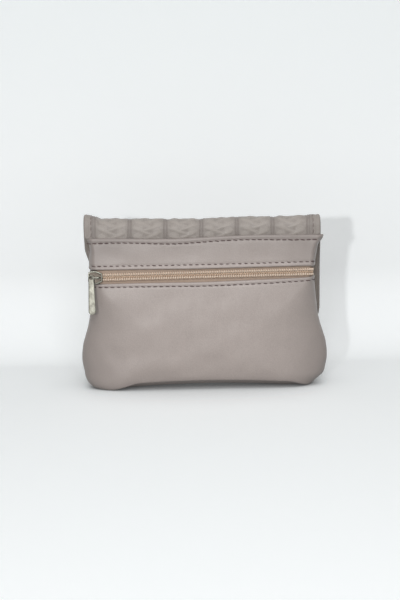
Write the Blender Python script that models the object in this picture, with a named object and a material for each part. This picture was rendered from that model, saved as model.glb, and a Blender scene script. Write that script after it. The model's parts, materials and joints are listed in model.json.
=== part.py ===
"""Flap coin purse with a zipped back pocket, in metres, +Z up.

The zipped back faces -Y and the flap hangs over the front, towards +Y. X runs along the zip. The
purse stands on its two lower corners at z = 0, and the seam plane between back and front is
straight above the origin, moved by seam_shift so that the whole object is centred in Y.
"""
import math

import bmesh
import bpy
from mathutils import Matrix, Vector

# Leather, cloth and the gap that neighbours keep
leather = 0.0012
cloth = 0.0005
clearance = 0.0003
overrun = 0.002

# Outline of the body, seen from the back
belly_half_width = 0.067
hem_height = 0.0825
front_height = 0.076
corner_height = 0.009
base_arch = 0.0014
width_height_shares = (0.0, 0.11, 0.19, 0.29, 0.36, 0.42, 0.51, 0.62, 0.76, 0.92, 1.0)
width_shares = (0.881, 0.988, 1.0, 0.988, 0.967, 0.948, 0.930, 0.923, 0.921, 0.934, 0.962)

# Depth of each wall from the seam plane, and how wide its rounded shoulder is
base_depth = 0.010
back_belly_depth = 0.013
front_belly_depth = 0.0125
mouth_depth = 0.0058
belly_height = 0.020
shoulder_top = 0.0034
shoulder_height_shares = (0.0, 0.11, 0.24, 0.40, 0.54, 0.62, 1.0)
shoulder_shares = (0.24, 0.46, 0.62, 0.44, 0.16, 0.0, 0.0)

# Gussets, folded inwards like a V, from the side seams' tops down to where the seams close
gusset_start = 0.033
gusset_back = 0.0042
gusset_front = 0.0021
gusset_fold = 0.005
gusset_cloth = 0.0008
gusset_allowance = 0.0010
gusset_top = 0.073

# Flap: an embossed strip that rises behind the hem, folds over the ridge and hangs in front
ridge_height = 0.094
fold_radius = 0.0058
flap_half_width = 0.065
flap_bottom = 0.027
flap_corner = 0.014
flap_slope = math.radians(16)
flap_standoff = 0.0006
flap_droop = 0.003
droop_power = 6
flap_lining_inset = 0.0015
strip_bottom = 0.0765
interlining = 0.0004

# Zip: one coil of teeth on each tape, in a window between the two back panels. It rises a little
# to the right
zip_height = 0.0635
zip_rise = 0.008
zip_rise_bottom = 0.040
window_half = 0.0039
tooth_pitch = 0.00125
tooth_width = 0.00045
tooth_reach = 0.00045
coil_half_width = 0.0021
coil_spine = 0.0008
coil_thickness = 0.0014
coil_inset = 0.0042
tape_edge = 0.00105
tape_width = 0.0078

# Slider, in the frame of the zip: x along the chain, y up the wall, z out of the wall
slider_inset = 0.0037
slider_shoulder = 0.72
slider_broad_end = 0.2
slider_narrow_start = 0.8
slider_keel_share = 0.96
flange_start = 0.7
flange_end = 0.15
slider_half_length = 0.0039
slider_half_width = 0.0036
slider_tail_half = 0.0027
slider_plate = 0.0008
slider_keel = 0.0007
flange_inner = 0.0026
flange_outer = 0.0032
diamond_half_width = 0.0007
diamond_length = 0.0022
post_centre = 0.0021
post_width = 0.0008
bridge_half_width = 0.0005
bridge_length = 0.0052
bridge_bar = 0.0007
pull_thickness = 0.0008
pull_length = 0.0215
pull_neck_half = 0.0015
pull_end_half = 0.002
pull_eye = 0.00095
pull_edge = 0.00012
pull_arc_steps = 6

# Pocket and main lining
pouch_thickness = 0.0014
pouch_half_width = 0.055
pouch_bottom = 0.013
pouch_top = 0.0665
pouch_power = 8
pouch_cloth_share = 0.8
pouch_rows = 9
lining_lift = 0.0034
lining_side = 0.0034
lining_shoulder = 0.012
lining_top = 0.0735
lining_step_low = 4
lining_step_long = 2

# Magnetic snap under the flap
snap_height = 0.038
snap_radius = 0.007
snap_female = 0.0018
snap_male = 0.0008
snap_bore = 0.0030
snap_stud = 0.0024
snap_stud_length = 0.0012
snap_shank = 0.0020
snap_hole = 0.0024
washer_radius = 0.006
washer = 0.0004
snap_bulge_radius = 0.020
bulge_power = 4

# Grid counts
flat_columns = 4
shoulder_columns = 5
bag_columns = 28
flap_columns = 11
strip_columns = 3
leaf_rows = 11
fold_steps = 9
corner_steps = 3
round_steps = 24

# Stacks of layers, measured inwards from the outer face of the wall or the flap
strip_offset = leather + clearance
hem_depth = fold_radius + strip_offset
tape_offset = leather + clearance
keel_offset = tape_offset + cloth + clearance
pouch_offset = keel_offset + slider_keel + clearance
pouch_low_offset = leather + clearance
flap_interlining_offset = leather + clearance
flap_lining_offset = flap_interlining_offset + interlining + clearance
flap_stack = flap_lining_offset + cloth
front_lining_offset = leather + 3 * clearance + washer + cloth
snap_standoff = snap_female + snap_male + 3 * clearance

COLOURS = {
    "leather": (0.376, 0.328, 0.306, 1.0), "embossed_leather": (0.330, 0.290, 0.270, 1.0),
    "lining": (0.26, 0.235, 0.22, 1.0), "tape": (0.36, 0.28, 0.22, 1.0),
    "coil": (0.50, 0.39, 0.31, 1.0), "metal": (0.55, 0.56, 0.47, 1.0),
}


def clear_scene():
    """Remove whatever the file held."""
    for thing in list(bpy.data.objects):
        bpy.data.objects.remove(thing, do_unlink=True)


def clamp(value):
    return max(0.0, min(1.0, value))


def smooth(value):
    value = clamp(value)
    return value * value * (3.0 - 2.0 * value)


def through(places, values, place):
    """Smooth curve through a table: cubic pieces with slopes that never overshoot."""
    last = len(places) - 1
    place = max(places[0], min(places[last], place))
    rises = [(values[i + 1] - values[i]) / (places[i + 1] - places[i]) for i in range(last)]
    slopes = [rises[0]]
    for before, after in zip(rises, rises[1:]):
        slopes.append(0.0 if before * after <= 0 else 2.0 * before * after / (before + after))
    slopes.append(rises[-1])
    i = next(k for k in range(last) if place <= places[k + 1])
    step = places[i + 1] - places[i]
    t = (place - places[i]) / step
    return (values[i] * (1 + 2 * t) * (1 - t) ** 2 + slopes[i] * step * t * (1 - t) ** 2
            + values[i + 1] * t * t * (3 - 2 * t) + slopes[i + 1] * step * t * t * (t - 1))


def half_width(z):
    """Half width of the body at a height, with a rounded lower corner."""
    corner_width = belly_half_width * width_shares[1]
    base_width = belly_half_width * width_shares[0]
    if z < corner_height:
        rise = math.sqrt(1.0 - (1.0 - z / corner_height) ** 2)
        return base_width + (corner_width - base_width) * rise
    places = [max(corner_height, hem_height * share) for share in width_height_shares[1:]]
    places[0] = corner_height
    return belly_half_width * through(places, width_shares[1:], z)


def wall_depth(z, belly, top, top_height):
    """Depth of a wall: a round bottom up to the belly, then a parabola up to its top edge."""
    if z < belly_height:
        return base_depth + (belly - base_depth) * math.sqrt(1.0 - (1.0 - z / belly_height) ** 2)
    share = (z - belly_height) / (top_height - belly_height)
    return top + (belly - top) * (1.0 - share * share)


def back_depth(z):
    return wall_depth(z, back_belly_depth, hem_depth, hem_height)


def front_depth(z):
    return wall_depth(min(z, front_height), front_belly_depth, mouth_depth, front_height)


def shoulder(z):
    """Width of the rounded part at each side of a wall."""
    places = [hem_height * share for share in shoulder_height_shares]
    return shoulder_top + belly_half_width * through(places, shoulder_shares, z)


def seam_half(z, top_value):
    """Half the opening of the side seam: closed below the gusset, wider towards the top."""
    share = clamp((z - gusset_start) / (hem_height - gusset_start))
    return clearance / 2 + (top_value - clearance / 2) * share


def arch(x, z):
    """Lift of the base between its two lower corners."""
    span = belly_half_width * width_shares[0] - belly_half_width * shoulder_shares[0]
    return base_arch * clamp(1.0 - (x / span) ** 2) * clamp(1.0 - z / belly_height)


def columns():
    """Places across a wall: (share of the flat part, angle round the shoulder), left to right."""
    right = [(i / flat_columns, 0.0) for i in range(flat_columns)]
    right += [(1.0, math.pi / 2 * i / shoulder_columns) for i in range(shoulder_columns + 1)]
    return [(-share, -angle) for share, angle in reversed(right[1:])] + right


def zip_slant(x, z):
    """How far a row of the back is moved up to stay along the zip: all of the zip's rise in the
    window, none at the hem and at zip_rise_bottom."""
    low_edge = zip_height - window_half
    high_edge = zip_height + window_half
    below = smooth((z - zip_rise_bottom) / (low_edge - zip_rise_bottom))
    above = smooth((hem_height - z) / (hem_height - high_edge))
    return zip_rise * x * min(below, above)


def wall_point(side, z, column, offset=0.0, lift=0.0):
    """Point of a wall, offset inwards. side is -1 for the back and 1 for the front."""
    share, angle = column
    if side < 0:
        z += zip_slant((half_width(z) - shoulder(z)) * share + shoulder(z) * math.sin(angle), z)
    depth = (back_depth(z) if side < 0 else front_depth(z)) - offset
    edge = seam_half(z, gusset_back if side < 0 else gusset_front)
    width = half_width(z) - offset
    round_width = max(shoulder(z) - offset, clearance)
    x = (width - round_width) * share + round_width * math.sin(angle)
    y = edge + (depth - edge) * math.cos(angle)
    return Vector((x, side * y, z + lift + arch(x, z)))


def back_face(x, z):
    """Depth of the back wall at a place."""
    round_width = shoulder(z)
    past = clamp((abs(x) - half_width(z) + round_width) / round_width)
    edge = seam_half(z, gusset_back)
    return edge + (back_depth(z) - edge) * math.sqrt(1.0 - past * past)


def material(name):
    found = bpy.data.materials.get(name)
    if found:
        return found
    made = bpy.data.materials.new(name)
    made.use_nodes = True
    shader = made.node_tree.nodes["Principled BSDF"]
    shader.inputs["Base Color"].default_value = COLOURS[name]
    shader.inputs["Metallic"].default_value = 1.0 if name == "metal" else 0.0
    shader.inputs["Roughness"].default_value = 0.35 if name == "metal" else 0.6
    return made


def new_object(name, bm, finish, parent):
    """Turn a bmesh into a named object under an empty."""
    bmesh.ops.remove_doubles(bm, verts=bm.verts, dist=clearance / 100)
    bmesh.ops.dissolve_degenerate(bm, edges=bm.edges, dist=clearance / 100)
    bmesh.ops.recalc_face_normals(bm, faces=bm.faces)
    mesh = bpy.data.meshes.new(name)
    bm.to_mesh(mesh)
    bm.free()
    mesh.materials.append(material(finish))
    mesh.shade_smooth()
    mesh.set_sharp_from_angle(angle=math.radians(40))
    made = bpy.data.objects.new(name, mesh)
    bpy.context.scene.collection.objects.link(made)
    made.parent = parent
    return made


def slab(name, outer, inner, finish, parent):
    """Closed sheet between two grids of points: two skins and a rim round their edges."""
    bm = bmesh.new()
    rows, width = len(outer), len(outer[0])
    skins = [[[bm.verts.new(point) for point in row] for row in grid] for grid in (outer, inner)]
    for skin in skins:
        for i in range(rows - 1):
            for j in range(width - 1):
                bm.faces.new((skin[i][j], skin[i][j + 1], skin[i + 1][j + 1], skin[i + 1][j]))
    border = [(0, j) for j in range(width)] + [(i, width - 1) for i in range(1, rows)]
    border += [(rows - 1, j) for j in range(width - 2, -1, -1)] + [(i, 0) for i in range(rows - 2, 0, -1)]
    for (i, j), (k, m) in zip(border, border[1:] + border[:1]):
        bm.faces.new((skins[0][i][j], skins[0][k][m], skins[1][k][m], skins[1][i][j]))
    return new_object(name, bm, finish, parent)


def bag(name, outer, inner, finish, parent):
    """Open bag: outer rings from the mouth down, inner rings likewise, joined at the mouth."""
    bm = bmesh.new()
    rings = [[bm.verts.new(point) for point in ring] for ring in list(reversed(outer)) + list(inner)]
    for low, high in zip(rings, rings[1:]):
        for j in range(len(low)):
            k = (j + 1) % len(low)
            bm.faces.new((low[j], low[k], high[k], high[j]))
    bm.faces.new(rings[0])
    bm.faces.new(rings[-1])
    return new_object(name, bm, finish, parent)


def prism(bm, outline, low, high):
    """Extrude a flat outline of (x, y) points from low to high."""
    bottom = [bm.verts.new((x, y, low)) for x, y in outline]
    face = bm.faces.new(bottom)
    grown = bmesh.ops.extrude_face_region(bm, geom=[face])["geom"]
    moved = [item for item in grown if isinstance(item, bmesh.types.BMVert)]
    bmesh.ops.translate(bm, verts=moved, vec=(0.0, 0.0, high - low))


def circle(radius, steps=round_steps):
    return [(radius * math.cos(2 * math.pi * i / steps), radius * math.sin(2 * math.pi * i / steps))
            for i in range(steps)]


def turned(name, profile, finish, parent):
    """Solid turned round its z axis from (radius, height) points that form a closed loop or end
    on the axis."""
    bm = bmesh.new()
    points = [bm.verts.new((radius, 0.0, height)) for radius, height in profile]
    closed = profile[0][0] > 0.0
    pairs = list(zip(points, points[1:] + points[:1] if closed else points[1:]))
    edges = [bm.edges.new(pair) for pair in pairs]
    bmesh.ops.spin(bm, geom=points + edges, cent=(0, 0, 0), axis=(0, 0, 1), angle=2 * math.pi,
                   steps=round_steps, use_merge=True)
    return new_object(name, bm, finish, parent)


def cutter(name, radius, low, high, parent):
    """Round cutter, left out of the part."""
    bm = bmesh.new()
    prism(bm, circle(radius), low, high)
    made = new_object(name, bm, "metal", parent)
    made.hide_render = True
    made.display_type = "WIRE"
    return made


def cut(body, tool, operation="DIFFERENCE"):
    modifier = body.modifiers.new(tool.name, "BOOLEAN")
    modifier.operation = operation
    modifier.object = tool
    modifier.solver = "EXACT"


def soften(body, width):
    modifier = body.modifiers.new("soft_edge", "BEVEL")
    modifier.width = width
    modifier.segments = 1
    modifier.limit_method = "ANGLE"
    modifier.angle_limit = math.radians(40)


def empty(name, matrix, parent=None):
    made = bpy.data.objects.new(name, None)
    bpy.context.scene.collection.objects.link(made)
    made.parent = parent
    made.matrix_local = matrix
    return made


def heights(low, high, count):
    return [low + (high - low) * i / count for i in range(count + 1)]


def body_rows(top, count):
    """Heights of a wall's rows: close together round the lower corner, even above it."""
    low = [corner_height * (1.0 - math.cos(math.pi / 2 * i / corner_steps)) for i in range(corner_steps)]
    return low + heights(corner_height, top, count)


def wall_panel(name, side, rows, finish, parent, base=False):
    """One leather panel of the body. A panel with a base also turns in to the bottom seam."""
    outer = [[wall_point(side, z, column) for column in columns()] for z in rows]
    inner = []
    for z in rows:
        lift = leather * (1.0 - clamp(z / corner_height)) if base else 0.0
        inner.append([wall_point(side, z, column, leather, lift) for column in columns()])
    if base:
        edge = clearance / 2
        for grid in (outer, inner):
            first = grid[0]
            for share in (0.5, 1.0):
                row = [Vector((p.x, side * (edge + (abs(p.y) - edge) * (1.0 - share)), p.z))
                       for p in first]
                grid.insert(0, row)
    return slab(name, outer, inner, finish, parent)


def make_panels(parent):
    """Back panel above the zip, back panel below it, and the front panel."""
    low_edge = zip_height - window_half
    high_edge = zip_height + window_half
    wall_panel("back_lower_panel", -1, body_rows(low_edge, 9), "leather", parent, base=True)
    wall_panel("back_upper_panel", -1, heights(high_edge, hem_height, 4), "leather", parent)
    return wall_panel("front_panel", 1, body_rows(front_height, 11), "leather", parent, base=True)


def make_gussets(parent):
    """A V of thin leather between the walls at each side."""
    bottom = gusset_start + gusset_allowance
    for name, side in (("gusset_left", -1), ("gusset_right", 1)):
        outer, inner = [], []
        for z in heights(bottom, gusset_top, 5):
            back_edge = seam_half(z, gusset_back)
            front_edge = seam_half(z, gusset_front)
            reach = gusset_allowance / (front_depth(z) - leather - front_edge)
            last = math.pi / 2 * (1.0 - 1.0 / shoulder_columns)
            sink = (shoulder(z) - leather) * (1.0 - math.sin(last)) * reach / math.cos(last)
            x = half_width(z) - leather - clearance - sink
            fold = clearance + gusset_fold * clamp((z - gusset_start) / (gusset_top - gusset_start))
            middle = (front_edge - back_edge) / 2
            places = [(x, -back_edge - gusset_allowance), (x, -back_edge), (x - fold, middle),
                      (x, front_edge), (x, front_edge + gusset_allowance)]
            outer.append([Vector((side * px, py, z)) for px, py in places])
            inner.append([Vector((side * (px - gusset_cloth), py, z)) for px, py in places])
        slab(name, outer, inner, "leather", parent)


def make_tapes(parent):
    """Two woven tapes behind the window. They follow the wall round its right shoulder, and stop
    flat at the left, where the closed slider stands over their ends."""
    for name, side in (("zip_tape_upper", 1), ("zip_tape_lower", -1)):
        rows = heights(zip_height + side * tape_edge, zip_height + side * (tape_edge + tape_width), 2)
        places = columns()[shoulder_columns:-1]
        outer = [[wall_point(-1, z, column, tape_offset) for column in places] for z in rows]
        inner = [[wall_point(-1, z, column, tape_offset + cloth) for column in places] for z in rows]
        slab(name, outer, inner, "tape", parent)


def make_coil(name, side, parent):
    """A row of teeth on its spine. The other row's teeth stand in its gaps."""
    start = -slider_start() + slider_half_length - diamond_length
    count = int((half_width(zip_height) - coil_inset - start) / tooth_pitch)
    shift = tooth_pitch / 2 if side > 0 else 0.0
    spine = side * (coil_half_width - coil_spine)
    tip = -side * tooth_reach
    outline = [(start, side * coil_half_width), (start, spine)]
    for i in range(count):
        middle = start + tooth_pitch * (i + 0.5) + shift
        half = tooth_width / 2
        outline += [(middle - half, spine), (middle - half, tip), (middle + half, tip), (middle + half, spine)]
    end = start + tooth_pitch * (count + 1)
    outline += [(end, spine), (end, side * coil_half_width)]
    bm = bmesh.new()
    high = coil_thickness - leather
    prism(bm, outline, -leather, high)
    return new_object(name, bm, "coil", parent)


def slider_start():
    """Distance from the middle to the slider's place at rest, near the left end of the chain."""
    return half_width(zip_height) - slider_inset


def make_slider(parent):
    """Slider: top plate with side flanges, keel plate behind the tapes, the diamond that joins
    them and parts the teeth, and a bridge for the pull."""
    top_low = coil_thickness - leather + clearance
    top_high = top_low + slider_plate
    nose = slider_half_width
    tail = slider_tail_half
    length = slider_half_length
    half_plate = [(-length, nose * slider_shoulder), (-length * slider_shoulder, nose),
                  (length * slider_broad_end, nose), (length * slider_narrow_start, tail),
                  (length, tail * slider_shoulder)]
    plate = [(x, -y) for x, y in half_plate] + list(reversed(half_plate))
    bm = bmesh.new()
    prism(bm, plate, top_low, top_high)
    body = new_object("slider_body", bm, "metal", parent)

    keel_high = -keel_offset
    keel = [(x * slider_keel_share, y * flange_outer / nose) for x, y in plate]
    pieces = [("slider_keel", keel, keel_high - slider_keel, keel_high)]
    diamond_left = -length * slider_keel_share
    diamond_right = diamond_left + diamond_length
    diamond_middle = (diamond_left + diamond_right) / 2
    diamond = [(diamond_left, 0.0), (diamond_middle, -diamond_half_width), (diamond_right, 0.0),
               (diamond_middle, diamond_half_width)]
    sink = slider_plate / 2
    pieces.append(("slider_diamond", diamond, keel_high - sink, top_low + sink))
    flange_low = -tape_offset + clearance
    for side, label in ((1, "upper"), (-1, "lower")):
        left, right = -length * flange_start, length * flange_end
        flange = [(left, side * flange_inner), (right, side * flange_inner),
                  (right, side * flange_outer), (left, side * flange_outer)]
        pieces.append(("slider_flange_" + label, flange, flange_low, top_low + sink))
    for label, outline, low, high in pieces:
        bm = bmesh.new()
        prism(bm, outline, low, high)
        tool = new_object(label, bm, "metal", parent)
        tool.hide_render = True
        tool.display_type = "WIRE"
        cut(body, tool, "UNION")

    # The bridge is an arch in the x-z plane, wide enough under its bar for the pull
    bar_low = top_high + 2 * clearance + pull_thickness
    bar_high = bar_low + bridge_bar
    left = -post_centre - post_width / 2
    right = left + bridge_length
    low = top_high - sink
    arch_outline = [(left, low), (left, bar_high - bridge_bar / 2), (left + post_width / 2, bar_high),
                    (right - post_width, bar_high), (right, bar_high - post_width), (right, low),
                    (right - post_width, low), (right - post_width, bar_low), (left + post_width, bar_low),
                    (left + post_width, low)]
    bm = bmesh.new()
    prism(bm, arch_outline, -bridge_half_width, bridge_half_width)
    bmesh.ops.rotate(bm, verts=bm.verts, cent=(0, 0, 0), matrix=Matrix.Rotation(math.pi / 2, 3, "X"))
    tool = new_object("slider_bridge", bm, "metal", parent)
    tool.hide_render = True
    tool.display_type = "WIRE"
    cut(body, tool, "UNION")
    return top_high + clearance


def make_pull(parent):
    """Pull that hangs from the bridge's post, with its eye round the post."""
    eye_outer = pull_neck_half
    bottom = -(pull_length - eye_outer) + pull_end_half
    outline = []
    for i in range(pull_arc_steps + 1):
        angle = math.pi * i / pull_arc_steps
        outline.append((eye_outer * math.cos(angle), eye_outer * math.sin(angle)))
    for i in range(pull_arc_steps + 1):
        angle = math.pi + math.pi * i / pull_arc_steps
        outline.append((pull_end_half * math.cos(angle), bottom + pull_end_half * math.sin(angle)))
    bm = bmesh.new()
    prism(bm, outline, 0.0, pull_thickness)
    body = new_object("zip_pull", bm, "metal", parent)
    cut(body, cutter("pull_eye_cutter", pull_eye, -overrun, pull_thickness + overrun, parent))
    soften(body, pull_edge)


def bag_ring(z, width, round_width, back, front, height):
    """Ring of a bag at one height, with the wall's own flat part and rounded shoulders."""
    ring = []
    for side, depth, places in ((-1, back, columns()[:-1]), (1, front, list(reversed(columns()))[:-1])):
        for share, angle in places:
            x = (width - round_width) * share + round_width * math.sin(angle)
            ring.append(Vector((x, side * depth * math.cos(angle), height + arch(x, z))))
    return ring


def lining_back(z):
    """Gap from the back wall's face to the lining: it makes room for the pocket and the slider."""
    low = pouch_low_offset + pouch_thickness + clearance
    high = pouch_offset + pouch_thickness + clearance
    share = smooth((z - zip_height + lining_step_low * window_half) / (lining_step_long * window_half))
    return low + (high - low) * share


def pouch_heights():
    """Heights that the zip pocket and the lining share, from the top down."""
    return heights(pouch_top, pouch_bottom, pouch_rows)


def make_lining(parent):
    """Cloth bag that lines the main compartment, open at the top."""
    outer, inner = [], []
    low = [z + lining_lift for z in body_rows(corner_height, 1)[:-1]]
    for top in [lining_top] + pouch_heights() + list(reversed(low)):
        z = top - lining_lift
        fold = gusset_fold * clamp((top - gusset_start) / (gusset_top - gusset_start))
        room = leather + lining_side + fold
        width = half_width(z) - room
        round_width = max(shoulder(z), lining_shoulder)
        back = min(back_depth(z), back_depth(top)) - lining_back(top)
        front = min(front_depth(z), front_depth(top)) - front_lining_offset
        outer.append(bag_ring(z, width, round_width, back, front, top))
        floor = top + cloth * (1.0 - clamp(z / corner_height))
        inner.append(bag_ring(z, width - cloth, round_width - cloth, back - cloth, front - cloth, floor))
    bag("main_lining", outer, inner, "lining", parent)


def make_pouch(parent):
    """Flat empty zip pocket, sewn to the tapes and hanging behind the lower back panel."""
    outer, inner = [], []
    for z in pouch_heights():
        offset = lining_back(z) - pouch_thickness - clearance
        floor = max(z, pouch_bottom + cloth)
        for rings, wall, height in ((outer, 0.0, z), (inner, cloth * pouch_cloth_share, floor)):
            ring = []
            half = pouch_thickness / 2 - wall
            for i in range(bag_columns):
                angle = 2 * math.pi * i / bag_columns
                share = abs(math.cos(angle))
                depth = (1.0 - share ** pouch_power) ** (1 / pouch_power) if share < 1.0 else 0.0
                x = (pouch_half_width - wall) * math.cos(angle)
                middle = -(back_face(x, z) - offset - pouch_thickness / 2)
                ring.append(Vector((x, middle + math.copysign(half * depth, math.sin(angle)), height)))
            rings.append(ring)
    bag("zip_pocket_bag", outer, inner, "lining", parent)


def fold_centre():
    return ridge_height - fold_radius


def flap_x(count, half):
    return [half * (2 * j / count - 1) for j in range(count + 1)]


def leaf_y(x, z, offset):
    """Face of the hanging flap: a tent from the fold down to the front wall, then over the
    belly, with a low swelling over the snap and a droop at each side."""
    centre = fold_centre()
    start_z = centre + (fold_radius - offset) * math.sin(flap_slope)
    start_y = (fold_radius - offset) * math.cos(flap_slope)
    join_z = front_height - clearance
    cover = front_depth(z) + flap_standoff + flap_stack - offset
    low = clamp((join_z - z) / (join_z - flap_bottom))
    cover -= flap_droop * low * low * abs(x / flap_half_width) ** droop_power
    away = math.hypot(x, z - snap_height) / snap_bulge_radius
    cover += (snap_standoff - flap_standoff) / (1.0 + away ** bulge_power)
    if z <= join_z:
        return cover
    return start_y + (cover - start_y) * clamp((start_z - z) / (start_z - join_z))


def leaf_grid(half, offset, inset):
    """Grid of a flap layer from the fold to its rounded lower corners."""
    top = fold_centre() + (fold_radius - offset) * math.sin(flap_slope)
    grid = []
    radius = flap_corner - inset
    for i in range(leaf_rows + 1):
        row = []
        for x in flap_x(flap_columns * 2, half):
            past = clamp((abs(x) - (half - radius)) / radius)
            bottom = flap_bottom + inset + radius * (1.0 - math.sqrt(1.0 - past * past))
            z = top + (bottom - top) * i / leaf_rows
            row.append(Vector((x, leaf_y(x, z, offset), z)))
        grid.append(row)
    return grid


def make_flap(parent):
    """Embossed leather, interlining and lining of the hanging flap, and the strip and fold that
    join it to the back."""
    border = flap_lining_inset
    slab("flap_leaf", leaf_grid(flap_half_width, 0.0, 0.0), leaf_grid(flap_half_width, leather, 0.0),
         "embossed_leather", parent)
    low = flap_interlining_offset
    narrow = flap_half_width - 2 * border
    layer = slab("flap_interlining", leaf_grid(narrow, low, 2 * border),
                 leaf_grid(narrow, low + interlining, 2 * border), "lining", parent)
    lining = slab("flap_lining", leaf_grid(flap_half_width - border, flap_lining_offset, border),
                  leaf_grid(flap_half_width - border, flap_stack, border), "lining", parent)

    # Fold over the ridge, ending a little below the ridge's centre at the back
    turn = clearance / (fold_radius - flap_stack)
    root_top = fold_centre() - fold_radius * math.sin(flap_slope) - 2 * clearance
    for name, finish, offset, thick in (("flap_fold", "embossed_leather", 0.0, leather),
                                        ("flap_fold_lining", "lining", flap_lining_offset, cloth)):
        grids = []
        for radius in (fold_radius - offset, fold_radius - offset - thick):
            grid = []
            for i in range(fold_steps + 1):
                angle = flap_slope + turn + (math.pi - flap_slope - turn) * i / fold_steps
                y = radius * math.cos(angle)
                z = fold_centre() + radius * math.sin(angle)
                grid.append([Vector((x, y, z)) for x in (-flap_half_width, 0.0, flap_half_width)])
            low = root_top + clearance
            grid.append([Vector((x, -radius, low)) for x in (-flap_half_width, 0.0, flap_half_width)])
            grids.append(grid)
        slab(name, grids[0], grids[1], finish, parent)

    # Strip: narrow behind the back panel, full width above its hem
    tucked = half_width(strip_bottom) - 2 * leather - shoulder_top
    levels = [(strip_bottom, tucked), (hem_height + clearance, tucked),
              (hem_height + leather, flap_half_width), (root_top, flap_half_width)]
    grids = []
    for y in (-fold_radius, -fold_radius + leather):
        grids.append([[Vector((x, y, z)) for x in flap_x(2 * strip_columns, half)] for z, half in levels])
    slab("flap_strip", grids[0], grids[1], "embossed_leather", parent)
    return layer, lining


def make_snap(parent, front_panel, layer, lining):
    """Magnetic snap: socket and washer on the front, stud plate and washer on the flap."""
    slope = (front_depth(snap_height + clearance) - front_depth(snap_height - clearance)) / (2 * clearance)
    normal = Vector((0.0, 1.0, -slope)).normalized()
    across = Vector((-1.0, 0.0, 0.0))
    up = normal.cross(across)
    place = Matrix((across, up, normal)).transposed().to_4x4()
    place.translation = Vector((0.0, front_depth(snap_height), snap_height))
    seat = empty("snap_seat", place, parent)
    low = clearance
    high = low + snap_female
    shank_end = -(leather + 2 * clearance + washer)
    turned("snap_socket", [(0.0, shank_end), (snap_shank, shank_end), (snap_shank, low), (snap_radius, low),
                           (snap_radius, high - clearance), (snap_radius - clearance, high), (snap_bore, high),
                           (snap_bore, low + clearance), (0.0, low + clearance)], "metal", seat)
    ring_high = -leather - clearance
    turned("snap_socket_washer", [(snap_hole, ring_high - washer), (washer_radius, ring_high - washer),
                                  (washer_radius, ring_high), (snap_hole, ring_high)], "metal", seat)
    plate = high + clearance
    back = plate + snap_male
    lining_low = snap_standoff
    washer_low = lining_low + cloth + clearance
    shank_top = washer_low + washer
    turned("snap_stud", [(0.0, plate - snap_stud_length), (snap_stud, plate - snap_stud_length),
                         (snap_stud, plate), (snap_radius, plate), (snap_radius, back), (snap_shank, back),
                         (snap_shank, shank_top), (0.0, shank_top)], "metal", seat)
    turned("snap_stud_washer", [(snap_hole, washer_low), (washer_radius, washer_low),
                                (washer_radius, washer_low + washer), (snap_hole, washer_low + washer)],
           "metal", seat)
    cut(front_panel, cutter("front_hole_cutter", snap_hole, -leather - overrun, overrun, seat))
    cut(lining, cutter("lining_hole_cutter", snap_hole, lining_low - cloth, washer_low, seat))
    cut(layer, cutter("interlining_hole_cutter", washer_radius + clearance, lining_low, back + overrun, seat))


def main():
    clear_scene()
    zip_slope = (back_depth(zip_height + clearance) - back_depth(zip_height - clearance)) / (2 * clearance)
    lean = math.atan(-zip_slope)
    pull_out = coil_thickness - leather + slider_plate + 2 * clearance + pull_thickness
    pull_drop = pull_length - pull_neck_half
    back_reach = back_depth(zip_height) + pull_out * math.cos(lean) + pull_drop * math.sin(lean)
    front_reach = max(leaf_y(0.0, z, 0.0) for z in heights(flap_bottom, front_height, 40))
    seam_shift = (back_reach - front_reach) / 2
    purse = empty("purse", Matrix.Translation((0.0, seam_shift, 0.0)))
    front_panel = make_panels(purse)
    make_gussets(purse)
    make_tapes(purse)
    normal = Vector((0.0, -math.cos(lean), math.sin(lean)))
    level = Vector((1.0, 0.0, 0.0))
    turn = math.atan(zip_rise / math.cos(lean))
    along = level * math.cos(turn) + normal.cross(level) * math.sin(turn)
    up = normal.cross(along)
    place = Matrix((along, up, normal)).transposed().to_4x4()
    place.translation = Vector((0.0, -back_depth(zip_height), zip_height))
    chain = empty("zip_line", place, purse)
    make_coil("zip_coil_upper", 1, chain)
    make_coil("zip_coil_lower", -1, chain)
    slider = empty("slider_place", Matrix.Translation((-slider_start(), 0.0, 0.0)), chain)
    pull_low = make_slider(slider)
    make_pull(empty("pull_place", Matrix.Translation((-post_centre, 0.0, pull_low)), slider))
    make_pouch(purse)
    make_lining(purse)
    layer, lining = make_flap(purse)
    make_snap(purse, front_panel, layer, lining)
    bpy.context.view_layer.update()
    post = chain.matrix_world @ Vector((-slider_start() - post_centre, 0.0, pull_low))
    print("seam shift", round(seam_shift, 6), "fold centre", round(fold_centre(), 6))
    print("zip line", tuple(along), "wall normal", tuple(normal), "pull post", tuple(post))


main()
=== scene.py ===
"""Dressed model of a flap coin purse with a zipped back pocket.

Every surface is a function of two parameters, worked out with numpy on a grid. X runs along the
zip, the zipped back faces -Y, the flap hangs on the +Y side and the purse stands on z = 0.
"""
import json
import logging
import math
from dataclasses import dataclass, field
from enum import Enum
from typing import Dict, List, Optional, Sequence, Tuple, Union

import bmesh
import bpy
import numpy as np
from mathutils import Matrix, Vector


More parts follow.
